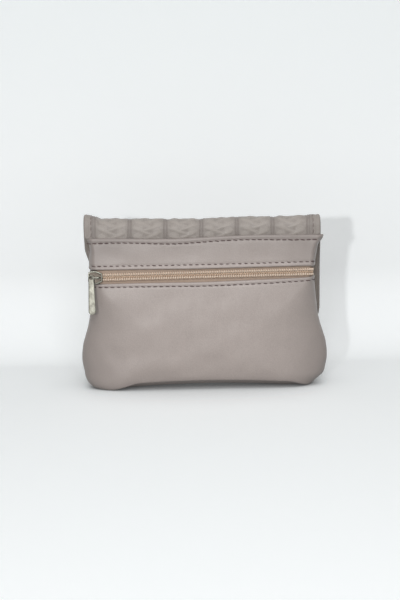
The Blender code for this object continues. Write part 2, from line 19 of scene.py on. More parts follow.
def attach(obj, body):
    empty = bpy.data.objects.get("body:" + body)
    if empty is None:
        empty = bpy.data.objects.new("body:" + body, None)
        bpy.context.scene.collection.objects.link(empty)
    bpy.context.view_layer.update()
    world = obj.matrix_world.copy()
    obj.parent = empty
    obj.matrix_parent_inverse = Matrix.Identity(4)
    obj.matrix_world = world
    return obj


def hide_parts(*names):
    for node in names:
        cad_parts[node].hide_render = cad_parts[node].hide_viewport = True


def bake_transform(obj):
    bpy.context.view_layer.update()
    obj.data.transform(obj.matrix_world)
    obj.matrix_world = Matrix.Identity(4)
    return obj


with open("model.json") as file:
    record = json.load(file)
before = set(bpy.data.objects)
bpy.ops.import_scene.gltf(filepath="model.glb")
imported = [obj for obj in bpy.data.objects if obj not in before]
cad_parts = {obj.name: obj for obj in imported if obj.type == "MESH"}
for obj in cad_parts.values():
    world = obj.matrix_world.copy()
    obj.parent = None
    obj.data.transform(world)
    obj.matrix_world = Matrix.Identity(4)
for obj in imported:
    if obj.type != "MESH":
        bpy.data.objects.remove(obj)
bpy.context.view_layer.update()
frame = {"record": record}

MM = 0.001
LOG = logging.getLogger("purse")
Array = np.ndarray
Colour = Tuple[float, ...]
Piece = bpy.types.Object
Mesh = bpy.types.Mesh
Material = bpy.types.Material
Socket = bpy.types.NodeSocket
Table = Tuple[float, ...]
Pair = Tuple[float, float]
Feed = Union[float, Socket]
Solid = Tuple[Array, List[List[int]]]


class Side(Enum):
    """The two walls of the purse, by the sign of their Y."""

    BACK = -1
    FRONT = 1


class Row(Enum):
    """The back's rows of stitches: under the hem, and above and below the zip."""

    HEM = "hem"
    UPPER = "upper"
    LOWER = "lower"


class Half(Enum):
    """The two halves of the zip, by their side of its middle."""

    UPPER = 1
    LOWER = -1

    @property
    def label(self) -> str:
        """First word of the names of its pieces."""
        return self.name.lower()


class Weave(Enum):
    """How the threads of a cloth lie."""

    PLAIN = "plain"
    RIBBED = "ribbed"


def joint(name: str) -> dict:
    """Entry of a joint in the frame's record, by its name."""
    joints = frame["record"]["behaviour"]["joints"]
    return next(entry for entry in joints if entry["name"] == name)


SEAM_Y = float(joint("flap_hinge")["pos_m"][1])


def clamp01(value: Array) -> Array:
    """Limit values to the range 0 to 1."""
    return np.clip(value, 0.0, 1.0)


def smooth01(value: Array) -> Array:
    """Ease from 0 to 1 with level ends."""
    t = clamp01(value)
    return t * t * (3.0 - 2.0 * t)


def bell(value: Array) -> Array:
    """Bell curve of height 1 and width about 1."""
    return np.exp(-value * value)


def stacked(*parts: Array) -> Array:
    """Parts that broadcast to one shape, side by side on a new last axis."""
    return np.stack(np.broadcast_arrays(*parts), axis=-1)


def circle(count: int) -> Array:
    """Even angles of a full turn."""
    return np.linspace(0, 2 * math.pi, count, endpoint=False)


def powered(value: Array, power: float) -> Array:
    """Power that keeps the sign; below 1 it squares off the sines of a circle."""
    return np.sign(value) * np.abs(value) ** power


def quarter(value: Array) -> Array:
    """Quarter circle: 1 at 0, and 0 from 1 on."""
    return np.sqrt(np.maximum(0.0, 1.0 - value * value))


def through(places: Sequence[float], values: Sequence[float], at: Array) -> Array:
    """Smooth curve through a table, as cubic pieces whose slopes never overshoot.

    Args:
        places: rising places of the table.
        values: value at each place.
        at: where to read the curve.

    Returns:
        The curve's values.
    """
    p, v = np.asarray(places, float), np.asarray(values, float)
    rise = np.diff(v) / np.diff(p)
    slope = np.concatenate(([rise[0]], np.zeros(len(rise) - 1), [rise[-1]]))
    both = rise[:-1] * rise[1:]
    total = rise[:-1] + rise[1:]
    slope[1:-1] = np.where(both > 0, 2.0 * both / np.where(total == 0, 1.0, total), 0.0)
    x = np.clip(at, p[0], p[-1])
    i = np.clip(np.searchsorted(p, x) - 1, 0, len(rise) - 1)
    step = p[i + 1] - p[i]
    t = (x - p[i]) / step
    return (v[i] * (1 + 2 * t) * (1 - t) ** 2 + slope[i] * step * t * (1 - t) ** 2
            + v[i + 1] * t * t * (3 - 2 * t) + slope[i + 1] * step * t * t * (t - 1))


def ripple(x: Array, z: Array, scale: float, seed: int, count: int = 9) -> Array:
    """Soft crumple: a sum of waves in seeded directions, about -1 to 1.

    Args:
        x: first coordinate, in metres.
        z: second coordinate, in metres.
        scale: middle wavelength, in metres.
        seed: fixes the directions and phases.
        count: number of waves.

    Returns:
        The waves' sum over the root of their number, scaled to about -1 to 1.
    """
    rng = np.random.default_rng(seed)
    total = np.zeros(np.broadcast(x, z).shape)
    usual_peak = 1.4
    for _ in range(count):
        turn = rng.uniform(0.0, math.pi)
        wave = scale * rng.uniform(0.6, 1.7)
        phase = rng.uniform(0.0, 2.0 * math.pi)
        total = total + np.sin(2 * math.pi / wave * (x * math.cos(turn) + z * math.sin(turn)) + phase)
    return total / math.sqrt(count) / usual_peak


def unit(vectors: Array, least: float = 0.0) -> Array:
    """Vectors of length 1 along the last axis, none divided by less than least."""
    return vectors / np.maximum(np.linalg.norm(vectors, axis=-1, keepdims=True), least)


@dataclass(frozen=True)
class Ease:
    """Smooth step from 0 to 1 that begins at a place and takes a length."""

    start: float
    over: float

    def at(self, place: Array) -> Array:
        """The step at a place."""
        return smooth01((place - self.start) / self.over)


@dataclass(frozen=True)
class Swell:
    """Bell of an amount, with its middle at a place and a reach to either side."""

    amount: float
    middle: float
    reach: float

    def at(self, place: Array) -> Array:
        """The bell at a place."""
        return self.amount * bell((place - self.middle) / self.reach)


@dataclass(frozen=True)
class PurseSizes:
    """Driving sizes of the body and the flap, in metres, as in the frame."""

    leather: float = 1.2 * MM
    cloth: float = 0.5 * MM
    gap: float = 0.3 * MM
    belly_half: float = 67.0 * MM
    hem: float = 82.5 * MM
    front_top: float = 76.0 * MM
    corner: float = 9.0 * MM
    arch: float = 1.4 * MM
    slack_arch: float = 3.6 * MM
    slack_middle: float = 4.0 * MM
    slack_end: Ease = Ease(-57.0 * MM, 18.0 * MM)
    corner_tuck: float = 3.0 * MM
    corner_from: Ease = Ease(46.0 * MM, 16.0 * MM)
    corner_bell: Swell = Swell(1.0, 2.0 * MM, 3.4 * MM)
    side_draw: float = 1.5 * MM
    side_from: Ease = Ease(56.0 * MM, 8.0 * MM)
    side_bell: Swell = Swell(1.0, 62.0 * MM, 12.0 * MM)
    base_depth: float = 10.0 * MM
    back_belly: float = 13.0 * MM
    front_belly: float = 12.5 * MM
    mouth_depth: float = 5.8 * MM
    belly_height: float = 20.0 * MM
    shoulder_top: float = 3.4 * MM
    gusset_start: float = 33.0 * MM
    gusset_back: float = 4.2 * MM
    gusset_front: float = 2.1 * MM
    gusset_fold: float = 5.0 * MM
    gusset_top: float = 73.0 * MM
    ridge: float = 94.0 * MM
    fold: float = 5.8 * MM
    flap_half: float = 65.0 * MM
    flap_bottom: float = 27.0 * MM
    flap_corner: float = 14.0 * MM
    flap_slope: float = math.radians(16.0)
    flap_stack: float = 2.7 * MM
    standoff: float = 0.6 * MM
    droop: float = 3.0 * MM
    strip_bottom: float = 76.5 * MM
    zip_height: float = 63.5 * MM
    zip_rise: float = 0.008
    window_half: float = 3.9 * MM
    snap_height: float = 38.0 * MM
    snap_swell: float = 2.9 * MM
    snap_reach: float = 20.0 * MM
    width_places: Table = (0.11, 0.19, 0.29, 0.36, 0.42, 0.51, 0.62, 0.76, 0.92, 1.0)
    width_shares: Table = (0.988, 1.0, 0.988, 0.967, 0.948, 0.930, 0.923, 0.921, 0.934, 0.962)
    base_share: float = 0.881
    belly_swell: Swell = Swell(0.7 * MM, 22.0 * MM, 12.0 * MM)
    shoulder_places: Table = (0.0, 0.11, 0.24, 0.40, 0.54, 0.66, 0.76, 1.0)
    shoulder_shares: Table = (0.24, 0.46, 0.62, 0.47, 0.26, 0.10, 0.02, 0.0)

    @property
    def fold_centre(self) -> float:
        """Height of the centre of the ridge's fold."""
        return self.ridge - self.fold

    @property
    def hem_depth(self) -> float:
        """Depth of the back wall at its hem: the fold, the hem's leather and a gap."""
        return self.fold + self.leather + self.gap


SIZES = PurseSizes()


@dataclass
class Wall:
    """One wall of the purse as a surface over (height, place across)."""

    side: Side
    sizes: PurseSizes = SIZES
    flat: float = 0.62

    def half_width(self, z: Array) -> Array:
        """Half width at a height.

        A quarter circle at the lower corner, then a curve through the outline, plus a soft belly.

        Args:
            z: heights.

        Returns:
            Half widths.
        """
        s = self.sizes
        places = np.array(s.width_places) * s.hem
        places[0] = s.corner
        upper = s.belly_half * through(places, s.width_shares, z)
        low = s.belly_half * s.base_share
        high = s.belly_half * s.width_shares[0]
        rise = quarter(1.0 - clamp01(z / s.corner))
        return np.where(z < s.corner, low + (high - low) * rise, upper) + s.belly_swell.at(z)

    def depth(self, z: Array) -> Array:
        """Depth from the seam plane: a round bottom, then a parabola up to the top edge.

        Args:
            z: heights.

        Returns:
            Depths.
        """
        s = self.sizes
        back = self.side is Side.BACK
        belly = s.back_belly if back else s.front_belly
        top = s.hem_depth if back else s.mouth_depth
        height = s.hem if back else s.front_top
        low = s.base_depth + (belly - s.base_depth) * quarter(1.0 - clamp01(z / s.belly_height))
        share = clamp01((z - s.belly_height) / (height - s.belly_height))
        return np.where(z < s.belly_height, low, top + (belly - top) * (1.0 - share * share))

    def shoulder(self, z: Array) -> Array:
        """Width of the rounded part at each side."""
        s = self.sizes
        return s.shoulder_top + s.belly_half * through(np.array(s.shoulder_places) * s.hem, s.shoulder_shares, z)

    def edge(self, z: Array) -> Array:
        """Half the opening of the side seam.

        Args:
            z: heights.

        Returns:
            Half openings, wider from the gusset's start up to the hem.
        """
        s = self.sizes
        top = s.gusset_back if self.side is Side.BACK else s.gusset_front
        share = clamp01((z - s.gusset_start) / (s.hem - s.gusset_start))
        return s.gap / 2 + (top - s.gap / 2) * share

    def lift(self, x: Array, z: Array) -> Array:
        """Arch of the base between its two corners: a parabola, and a broader one from slack.

        Args:
            x: places across.
            z: heights.

        Returns:
            Lifts, which fade out up to the belly.
        """
        s = self.sizes
        span = s.belly_half * (s.base_share - s.shoulder_shares[0])
        rise = s.arch * clamp01(1.0 - (x / span) ** 2) + self.slack(x)
        return rise * clamp01(1.0 - z / s.belly_height)

    def slack(self, x: Array) -> Array:
        """Rise of the base's long edges where the leather is slack; the seam between them stays low."""
        return self.sizes.slack_arch * self.sizes.slack_end.at(-np.abs(x - self.sizes.slack_middle))

    def tuck(self, x: Array, z: Array) -> Array:
        """Draw of the right edge to the left: a pinch at its foot and a waist beside the zip.

        Args:
            x: places across.
            z: heights.

        Returns:
            Moves along x, each a step in x times a bell in z.
        """
        s = self.sizes
        pinch = -s.corner_tuck * s.corner_from.at(x) * s.corner_bell.at(z)
        return pinch - s.side_draw * s.side_from.at(x) * s.side_bell.at(z)

    def points(self, z: Array, u: Array, offset: Array = 0.0) -> Array:
        """Points of the wall: a flat middle, then a quarter ellipse round each shoulder.

        Args:
            z: heights.
            u: places across, -1 to 1.
            offset: distance inwards from the face.

        Returns:
            Points, with the coordinates on the last axis.
        """
        z, u = np.broadcast_arrays(np.asarray(z, float), np.asarray(u, float))
        share = clamp01(np.abs(u) / self.flat)
        angle = math.pi / 2 * clamp01((np.abs(u) - self.flat) / (1.0 - self.flat))
        edge = self.edge(z)
        depth = self.depth(z) - offset
        width = self.half_width(z) - offset
        turn = np.maximum(self.shoulder(z) - offset, self.sizes.gap)
        x = np.sign(u) * ((width - turn) * share + turn * np.sin(angle))
        y = self.side.value * (edge + (depth - edge) * np.cos(angle))
        return stacked(x + self.tuck(x, z), y + SEAM_Y, z + self.lift(x, z))

    def face(self, x: Array, z: Array) -> Array:
        """Y of the wall's face.

        Args:
            x: places across.
            z: heights.

        Returns:
            Y, from the quarter ellipse past the shoulder's start.
        """
        turn = self.shoulder(z)
        past = clamp01((np.abs(x) - self.half_width(z) + turn) / turn)
        edge = self.edge(z)
        return self.side.value * (edge + (self.depth(z) - edge) * quarter(past)) + SEAM_Y


def normals(grid: Array, toward: Sequence[float]) -> Array:
    """Unit normals of a grid, from the cross product of its two directions.

    Args:
        grid: points, with the coordinates on the last axis.
        toward: direction that most of the normals take.

    Returns:
        The normals.
    """
    n = unit(np.cross(np.gradient(grid, axis=1), np.gradient(grid, axis=0)), 1e-12)
    return -n if float((n @ np.array(toward)).mean()) < 0 else n


def put(name: str, data: bpy.types.ID) -> Piece:
    """Put a new object of some data into the scene.

    Args:
        name: the object's name.
        data: a mesh, lamp or camera.

    Returns:
        The object.
    """
    made = bpy.data.objects.new(name, data)
    bpy.context.scene.collection.objects.link(made)
    return made


def link(mesh: Mesh, finish: "Finish") -> Piece:
    """Make an object of a mesh, of the same name, and give it its finish.

    Args:
        mesh: the mesh.
        finish: what it is made of.

    Returns:
        The object.
    """
    piece = put(mesh.name, mesh)
    mesh.materials.append(finish.material())
    return piece


def mesh_from(name: str, verts: Array, faces: Sequence[Sequence[int]], merge: bool = True) -> Mesh:
    """Smooth mesh from arrays, with its normals turned out.

    Args:
        name: the mesh's name.
        verts: points, with the coordinates on the last axis.
        faces: corners of each face.
        merge: whether points at one place become one.

    Returns:
        The mesh.
    """
    mesh = bpy.data.meshes.new(name)
    mesh.from_pydata(verts.reshape(-1, 3).tolist(), [], [list(face) for face in faces])
    bm = bmesh.new()
    bm.from_mesh(mesh)
    if merge:
        bmesh.ops.remove_doubles(bm, verts=bm.verts, dist=0.002 * MM)
    bmesh.ops.recalc_face_normals(bm, faces=bm.faces)
    bm.to_mesh(mesh)
    bm.free()
    mesh.polygons.foreach_set("use_smooth", np.ones(len(mesh.polygons), bool))
    mesh.update()
    return mesh


def spots(mesh: Mesh) -> Array:
    """Places of a mesh's vertices.

    Args:
        mesh: the mesh.

    Returns:
        One row for each vertex.
    """
    found = np.empty(len(mesh.vertices) * 3)
    mesh.vertices.foreach_get("co", found)
    return found.reshape(-1, 3)


def quads(rows: int, cols: int, wrap: bool = False, start: int = 0) -> Array:
    """Quads of a grid whose points run row by row.

    Args:
        rows: rows of points.
        cols: points in a row.
        wrap: whether each row is a ring.
        start: number of the first point.

    Returns:
        Four corners for each quad.
    """
    across = cols if wrap else cols - 1
    i, j = np.meshgrid(np.arange(rows - 1), np.arange(across), indexing="ij")
    k = (j + 1) % cols
    faces = stacked(i * cols + j, i * cols + k, (i + 1) * cols + k, (i + 1) * cols + j)
    return faces.reshape(-1, 4) + start


def put_values(mesh: Mesh, name: str, values: Array) -> None:
    """Store one float per vertex, for the finish to read."""
    layer = mesh.attributes.new(name, "FLOAT", "POINT")
    layer.data.foreach_set("value", np.asarray(values, np.float32).ravel())


def sheet(name: str, outer: Array, inner: Array, finish: "Finish", edge_out: float,
          relief: Optional[Array] = None) -> Piece:
    """Closed sheet between two grids, with a rounded rim.

    The rim is a half round between the two skins: a middle ring that stands out by edge_out from
    the mean of the skins, away from the next row or column.

    Args:
        name: the piece's name.
        outer: grid of the outer skin.
        inner: grid of the inner skin.
        finish: what it is made of.
        edge_out: how far the rim stands out.
        relief: value per outer point, stored as the attribute relief.

    Returns:
        The piece.
    """
    rows, cols = outer.shape[:2]
    border = [(0, j) for j in range(cols)] + [(i, cols - 1) for i in range(1, rows)]
    border += [(rows - 1, j) for j in range(cols - 2, -1, -1)] + [(i, 0) for i in range(rows - 2, 0, -1)]
    at = np.array(border)
    within = np.clip(at, 1, (rows - 2, cols - 2))
    middle = (outer + inner) / 2
    edge = middle[at[:, 0], at[:, 1]]
    ring = edge + unit(edge - middle[within[:, 0], within[:, 1]], 1e-9) * edge_out
    count = rows * cols
    verts = np.concatenate((outer.reshape(-1, 3), inner.reshape(-1, 3), ring))
    faces = [quads(rows, cols), quads(rows, cols, start=count)]
    flat = at[:, 0] * cols + at[:, 1]
    after = np.roll(flat, -1)
    mid = 2 * count + np.arange(len(border))
    mid_after = np.roll(mid, -1)
    faces.append(stacked(flat, after, mid_after, mid))
    faces.append(stacked(mid, mid_after, after + count, flat + count))
    mesh = mesh_from(name, verts, np.concatenate(faces), merge=False)
    if relief is not None:
        put_values(mesh, "relief", np.concatenate((relief.ravel(), np.zeros(count + len(border)))))
    return link(mesh, finish)


def tube_mesh(name: str, path: Array, radius: float, up: Sequence[float], sides: int) -> Mesh:
    """Tube carried along an open path, with flat caps.

    Each section is a circle square to the path, that begins on the side away from up.

    Args:
        name: the mesh's name.
        path: points along the middle.
        radius: radius of the section.
        up: rough direction of the section's second axis.
        sides: points of the section.

    Returns:
        The mesh.
    """
    along = unit(np.gradient(path, axis=0))
    side = unit(np.cross(along, np.broadcast_to(np.asarray(up, float), path.shape)))
    top = np.cross(side, along)
    angle = circle(sides)
    ring = path[:, None, :] + radius * (np.cos(angle)[None, :, None] * side[:, None, :]
                                        + np.sin(angle)[None, :, None] * top[:, None, :])
    faces = quads(len(path), sides, wrap=True).tolist()
    faces.append(list(range(sides - 1, -1, -1)))
    faces.append(list(range((len(path) - 1) * sides, len(path) * sides)))
    return mesh_from(name, ring, faces)


def linear(colour: Colour) -> Colour:
    """Turn an sRGB colour of 0 to 255 into a linear one with alpha 1."""
    parts = [c / 255.0 for c in colour]
    return tuple(p / 12.92 if p <= 0.04045 else ((p + 0.055) / 1.055) ** 2.4 for p in parts) + (1.0,)


class Graph:
    """Short way to build a material's node tree; its colours are sRGB, of 0 to 255."""

    def __init__(self, name: str) -> None:
        """Start a material with a Principled shader.

        Args:
            name: the material's name.
        """
        self.made = bpy.data.materials.new(name)
        self.made.use_nodes = True
        self.tree = self.made.node_tree
        self.shader = self.tree.nodes["Principled BSDF"]
        self.place = self.node("TexCoord").outputs["Object"]

    def node(self, kind: str, values: Optional[Dict] = None, links: Optional[Dict] = None,
             **settings: object) -> bpy.types.ShaderNode:
        """Add a node.

        Args:
            kind: node type without its ShaderNode prefix.
            values: input name or number to constant.
            links: input name or number to the socket that feeds it.
            settings: properties of the node.

        Returns:
            The node.
        """
        made = self.tree.nodes.new("ShaderNode" + kind)
        for name, value in settings.items():
            setattr(made, name, value)
        for name, value in (values or {}).items():
            made.inputs[name].default_value = value
        for name, socket in (links or {}).items():
            self.tree.links.new(socket, made.inputs[name])
        return made

    def filled(self, made: bpy.types.ShaderNode, items: Dict[int, Union[Feed, Colour]]) -> bpy.types.ShaderNode:
        """Give a node's inputs numbers, colours or other sockets.

        Args:
            made: the node.
            items: input number to what goes in.

        Returns:
            The same node.
        """
        for slot, item in items.items():
            if isinstance(item, Socket):
                self.tree.links.new(item, made.inputs[slot])
            else:
                made.inputs[slot].default_value = linear(item) if isinstance(item, tuple) else item
        return made

    def one(self, operation: str, item: Feed) -> Socket:
        """Change a socket by an operation that takes one value."""
        return self.filled(self.node("Math", operation=operation), {0: item}).outputs[0]

    def math(self, operation: str, first: Feed, second: Feed) -> Socket:
        """Combine sockets or numbers with one operation."""
        return self.filled(self.node("Math", operation=operation), {0: first, 1: second}).outputs[0]

    def plus(self, first: Feed, second: Feed) -> Socket:
        """Add sockets or numbers."""
        return self.math("ADD", first, second)

    def times(self, first: Feed, second: Feed) -> Socket:
        """Multiply sockets or numbers."""
        return self.math("MULTIPLY", first, second)

    def stretched(self, scale: Tuple[float, float, float], turn: float = 0.0) -> Socket:
        """Object coordinates scaled on each axis, turned about Y."""
        return self.node("Mapping", {"Scale": scale, "Rotation": (0.0, turn, 0.0)},
                         {"Vector": self.place}).outputs[0]

    def noise(self, size: float, detail: float = 3.0, rough: float = 0.5, at: Optional[Socket] = None) -> Socket:
        """Noise whose cells are about size metres wide."""
        return self.node("TexNoise", {"Scale": 1.0 / size, "Detail": detail, "Roughness": rough},
                         {"Vector": at or self.place}).outputs[0]

    def span(self, value: Socket, low: float, high: float, out_low: float = 0.0, out_high: float = 1.0) -> Socket:
        """Map a range of a value onto another, held at its ends."""
        return self.node("MapRange", {1: low, 2: high, 3: out_low, 4: out_high}, {0: value}).outputs[0]

    def mix(self, share: Socket, first: Union[Feed, Colour], second: Union[Feed, Colour]) -> Socket:
        """Blend two colours; either may be a constant or a socket."""
        return self.filled(self.node("Mix", data_type="RGBA"), {0: share, 6: first, 7: second}).outputs[2]

    def attribute(self, name: str) -> Socket:
        """Value that the mesh keeps for each vertex."""
        return self.node("Attribute", attribute_name=name).outputs["Fac"]

    def axes(self, vector: Optional[Socket] = None) -> bpy.types.NodeOutputs:
        """Coordinates of a vector, one by one, or of the place."""
        return self.node("SeparateXYZ", links={0: vector or self.place}).outputs

    def bump(self, height: Socket, distance: float) -> Socket:
        """Bump of a real height in metres."""
        return self.node("Bump", {"Strength": 1.0, "Distance": distance}, {"Height": height}).outputs[0]

    def finish(self, colour: Socket, roughness: Socket, normal: Optional[Socket] = None) -> Material:
        """Join the sockets to the shader.

        Args:
            colour: colour of the surface.
            roughness: its roughness.
            normal: its bumped normal, if it has one.

        Returns:
            The material.
        """
        for name, socket in (("Base Color", colour), ("Roughness", roughness), ("Normal", normal)):
            if socket is not None:
                self.tree.links.new(socket, self.shader.inputs[name])
        return self.made

    def fix(self, **values: float) -> None:
        """Set constants on the shader's own sockets; an underscore stands for a space."""
        for name, value in values.items():
            self.shader.inputs[name.replace("_", " ")].default_value = value


@dataclass(frozen=True)
class Finish:
    """What a piece is made of: a material's name, the record's slot, the main colour and its shade."""

    name: str
    slot: str
    colour: Colour
    shade: Colour

    def material(self) -> Material:
        """The material, built at its first use."""
        return bpy.data.materials.get(self.name) or self.build(Graph(self.name))


@dataclass(frozen=True)
class Leather(Finish):
    """Soft grained leather: pebbles with fine creases, colour that wanders, a faint sheen, and where asked painted
    shade towards its edges.
    """

    worn: Colour
    pebble: float = 0.6 * MM
    height: float = 0.018 * MM
    roughness: float = 0.42
    paler: float = 1.01
    duller: float = 0.988
    has_relief: bool = False
    relief_shade: float = 0.75
    relief_worn: float = 0.28
    # Painted shade towards the edges: whether it is painted, half width, middle height and reach of the lit middle, and
    # the darkest share of the colour
    shades_edges: bool = False
    edge_shade_half: float = 66 * MM
    edge_shade_middle: float = 37 * MM
    edge_shade_reach: float = 47 * MM
    edge_shade_factor: float = 0.84

    def build(self, g: Graph) -> Material:
        """Cells of a Voronoi pattern bent by noise, with the shade in the creases between them.

        Where edge shade is painted, the colour darkens with the fourth power of the distance from its
        middle: painted shade towards the sides, top and bottom. Relief is shaded where it is low and
        worn where it is high.

        Args:
            g: the graph to build in.

        Returns:
            The material.
        """
        wander = g.noise(9 * MM, 3.0, 0.55)
        bend = g.node("TexNoise", {"Scale": 1 / (1.4 * self.pebble)}, {"Vector": g.place}).outputs["Color"]
        bent = g.node("MixRGB", {0: 0.35}, {1: g.stretched((1 / self.pebble,) * 3), 2: bend}).outputs[0]
        cells = g.node("TexVoronoi", {"Scale": 1.0, "Randomness": 0.95}, {"Vector": bent},
                       feature="DISTANCE_TO_EDGE").outputs["Distance"]
        grain = g.span(cells, 0.0, 0.22)
        colour = g.mix(g.span(wander, 0.30, 0.70), tuple(c * self.duller for c in self.colour),
                       tuple(min(255.0, c * self.paler) for c in self.colour))
        # Painted shade: darker away from the middle, towards the sides, top and bottom, where the surface turns from
        # the light
        if self.shades_edges:
            across = g.axes()
            out = g.math("DIVIDE", g.one("ABSOLUTE", across[0]), self.edge_shade_half)
            up = g.one("ABSOLUTE", g.math("SUBTRACT", across[2], self.edge_shade_middle))
            far = g.plus(g.math("POWER", out, 4.0), g.math("POWER", g.math("DIVIDE", up, self.edge_shade_reach), 4.0))
            colour = g.mix(g.span(far, 0.0, 1.1), colour, tuple(c * self.edge_shade_factor for c in self.colour))
        colour = g.mix(g.span(grain, 0.0, 0.8, 0.30, 0.0), colour, self.shade)
        if self.has_relief:
            relief = g.attribute("relief")
            colour = g.mix(g.span(relief, -0.45, 0.25, self.relief_shade, 0.0), colour, self.shade)
            colour = g.mix(g.span(relief, 0.45, 1.0, 0.0, self.relief_worn), colour, self.worn)
        rough = g.span(wander, 0.3, 0.7, self.roughness + 0.03, self.roughness - 0.03)
        pebbles = g.plus(grain, g.times(g.noise(0.35 * MM, 2.0, 0.6), 0.35))
        g.fix(Specular_IOR_Level=0.55, Sheen_Weight=0.06, Sheen_Roughness=0.5)
        return g.finish(colour, rough, g.bump(pebbles, self.height))


@dataclass(frozen=True)
class Cloth(Finish):
    """Woven cloth: warp and weft bands over and under each other."""

    pitch: float = 0.42 * MM
    weave: Weave = Weave.PLAIN
    roughness: float = 0.85
    height: float = 0.06 * MM

    def build(self, g: Graph) -> Material:
        """Product of two sines, or a sum of two where the tape is ribbed, and slubs of noise.

        Args:
            g: the graph to build in.

        Returns:
            The material.
        """
        parts = g.axes()
        turn = 2 * math.pi / self.pitch
        warp = g.one("SINE", g.times(parts[0], turn))
        if self.weave is Weave.RIBBED:
            weave = g.plus(g.times(warp, 0.35), g.times(g.one("SINE", g.times(parts[2], turn * 0.6)), 0.15))
        else:
            weave = g.times(g.times(warp, g.one("SINE", g.times(parts[2], turn))), 0.5)
        height = g.plus(weave, 0.5)
        slubs = g.noise(1.6 * MM, 3.0, 0.6)
        colour = g.mix(g.span(height, 0.0, 0.75), self.shade, self.colour)
        colour = g.mix(g.span(slubs, 0.35, 0.7, 0.0, 0.35), colour, self.shade)
        rough = g.span(slubs, 0.3, 0.7, self.roughness - 0.05, self.roughness + 0.05)
        g.fix(Specular_IOR_Level=0.25, Sheen_Weight=0.2, Sheen_Roughness=0.6)
        return g.finish(colour, rough, g.bump(height, self.height))


@dataclass(frozen=True)
class Thread(Finish):
    """Twisted sewing thread: slanting plies across the stitch."""

    ply: float = 0.42 * MM
    slant: float = math.radians(35)
    height: float = 0.05 * MM

    def build(self, g: Graph) -> Material:
        """A sine along a slanting axis for the plies, and fine noise for the fuzz.

        Args:
            g: the graph to build in.

        Returns:
            The material.
        """
        slanted = g.axes(g.stretched((1.0, 1.0, 1.0), self.slant))
        plies = g.one("SINE", g.times(slanted[0], 2 * math.pi / self.ply))
        fuzz = g.noise(0.12 * MM, 2.0, 0.6)
        height = g.plus(g.times(plies, 0.5), g.times(fuzz, 0.6))
        colour = g.mix(g.span(height, -0.4, 0.9), self.shade, self.colour)
        g.fix(Specular_IOR_Level=0.3, Sheen_Weight=0.15)
        return g.finish(colour, g.span(fuzz, 0.3, 0.7, 0.55, 0.75), g.bump(height, self.height))


@dataclass(frozen=True)
class Metal(Finish):
    """Plated metal: fine brushing, slight tarnish in patches, raised parts worn bright."""

    roughness: float = 0.28
    has_wear: bool = False
    height: float = 0.012 * MM

    def build(self, g: Graph) -> Material:
        """Noise for the tarnish, stretched noise for the brushing, and the mesh's own wear.

        Args:
            g: the graph to build in.

        Returns:
            The material.
        """
        patches = g.noise(2.2 * MM, 4.0, 0.6)
        brush = g.noise(0.25 * MM, 2.0, 0.7, at=g.stretched((1.0, 1.0, 0.12)))
        colour = g.mix(g.span(patches, 0.45, 0.8, 0.0, 0.6), self.colour, self.shade)
        if self.has_wear:
            colour = g.mix(g.attribute("wear"), self.shade, colour)
        rough = g.span(g.plus(g.times(patches, 0.6), g.times(brush, 0.4)), 0.3, 0.7,
                       self.roughness - 0.06, self.roughness + 0.10)
        g.fix(Metallic=1.0)
        return g.finish(colour, rough, g.bump(brush, self.height))


@dataclass(frozen=True)
class Nylon(Finish):
    """Smooth nylon of the zip's teeth, lighter in worn patches."""

    height: float = 0.01 * MM

    def build(self, g: Graph) -> Material:
        """Patches of noise for the rubbed places, and fine noise for the bump.

        Args:
            g: the graph to build in.

        Returns:
            The material.
        """
        patches = g.noise(1.1 * MM, 3.0, 0.6)
        colour = g.mix(g.span(patches, 0.3, 0.7), self.shade, self.colour)
        return g.finish(colour, g.span(patches, 0.3, 0.7, 0.42, 0.32), g.bump(g.noise(0.2 * MM, 2.0), self.height))


# The body's leather has painted shade towards its sides, top and bottom
BODY_LEATHER = Leather("grained_taupe_leather", "leather", (187, 175, 169), (155, 143, 138), (198, 185, 177),
                       shades_edges=True)
GUSSET_LEATHER = Leather("gusset_leather", "leather", (160, 149, 144), (134, 124, 120), (176, 164, 158),
                         height=0.03 * MM)
FLAP_LEATHER = Leather("embossed_taupe_leather", "embossed_leather", (166, 157, 150), (128, 119, 114),
                       (184, 175, 167), pebble=0.5 * MM, height=0.035 * MM, has_relief=True)
LINING_CLOTH = Cloth("lining_cotton", "lining", (172, 161, 152), (144, 133, 125))
FELT = Cloth("felt_interlining", "interlining", (122, 114, 108), (100, 93, 88), pitch=0.9 * MM)
TAPE_CLOTH = Cloth("woven_zip_tape", "zip_tape", (206, 184, 167), (176, 155, 138), pitch=0.5 * MM,
                   weave=Weave.RIBBED)
COIL_NYLON = Nylon("zip_teeth_nylon", "zip_coil", (234, 207, 182), (206, 179, 156))
SEAM_THREAD = Thread("plum_brown_thread", "leather", (106, 86, 84), (78, 61, 61))
EDGE_THREAD = Thread("taupe_thread", "embossed_leather", (126, 110, 106), (100, 84, 82))
TOOTH_THREAD = Thread("rose_beige_thread", "zip_coil", (250, 234, 217), (222, 202, 184), ply=0.3 * MM)
ZIP_METAL = Metal("greenish_nickel", "zip_metal", (129, 128, 119), (70, 63, 57), roughness=0.36,
                  has_wear=True)
SNAP_METAL = Metal("snap_nickel", "snap_metal", (196, 196, 190), (140, 138, 130), roughness=0.33)


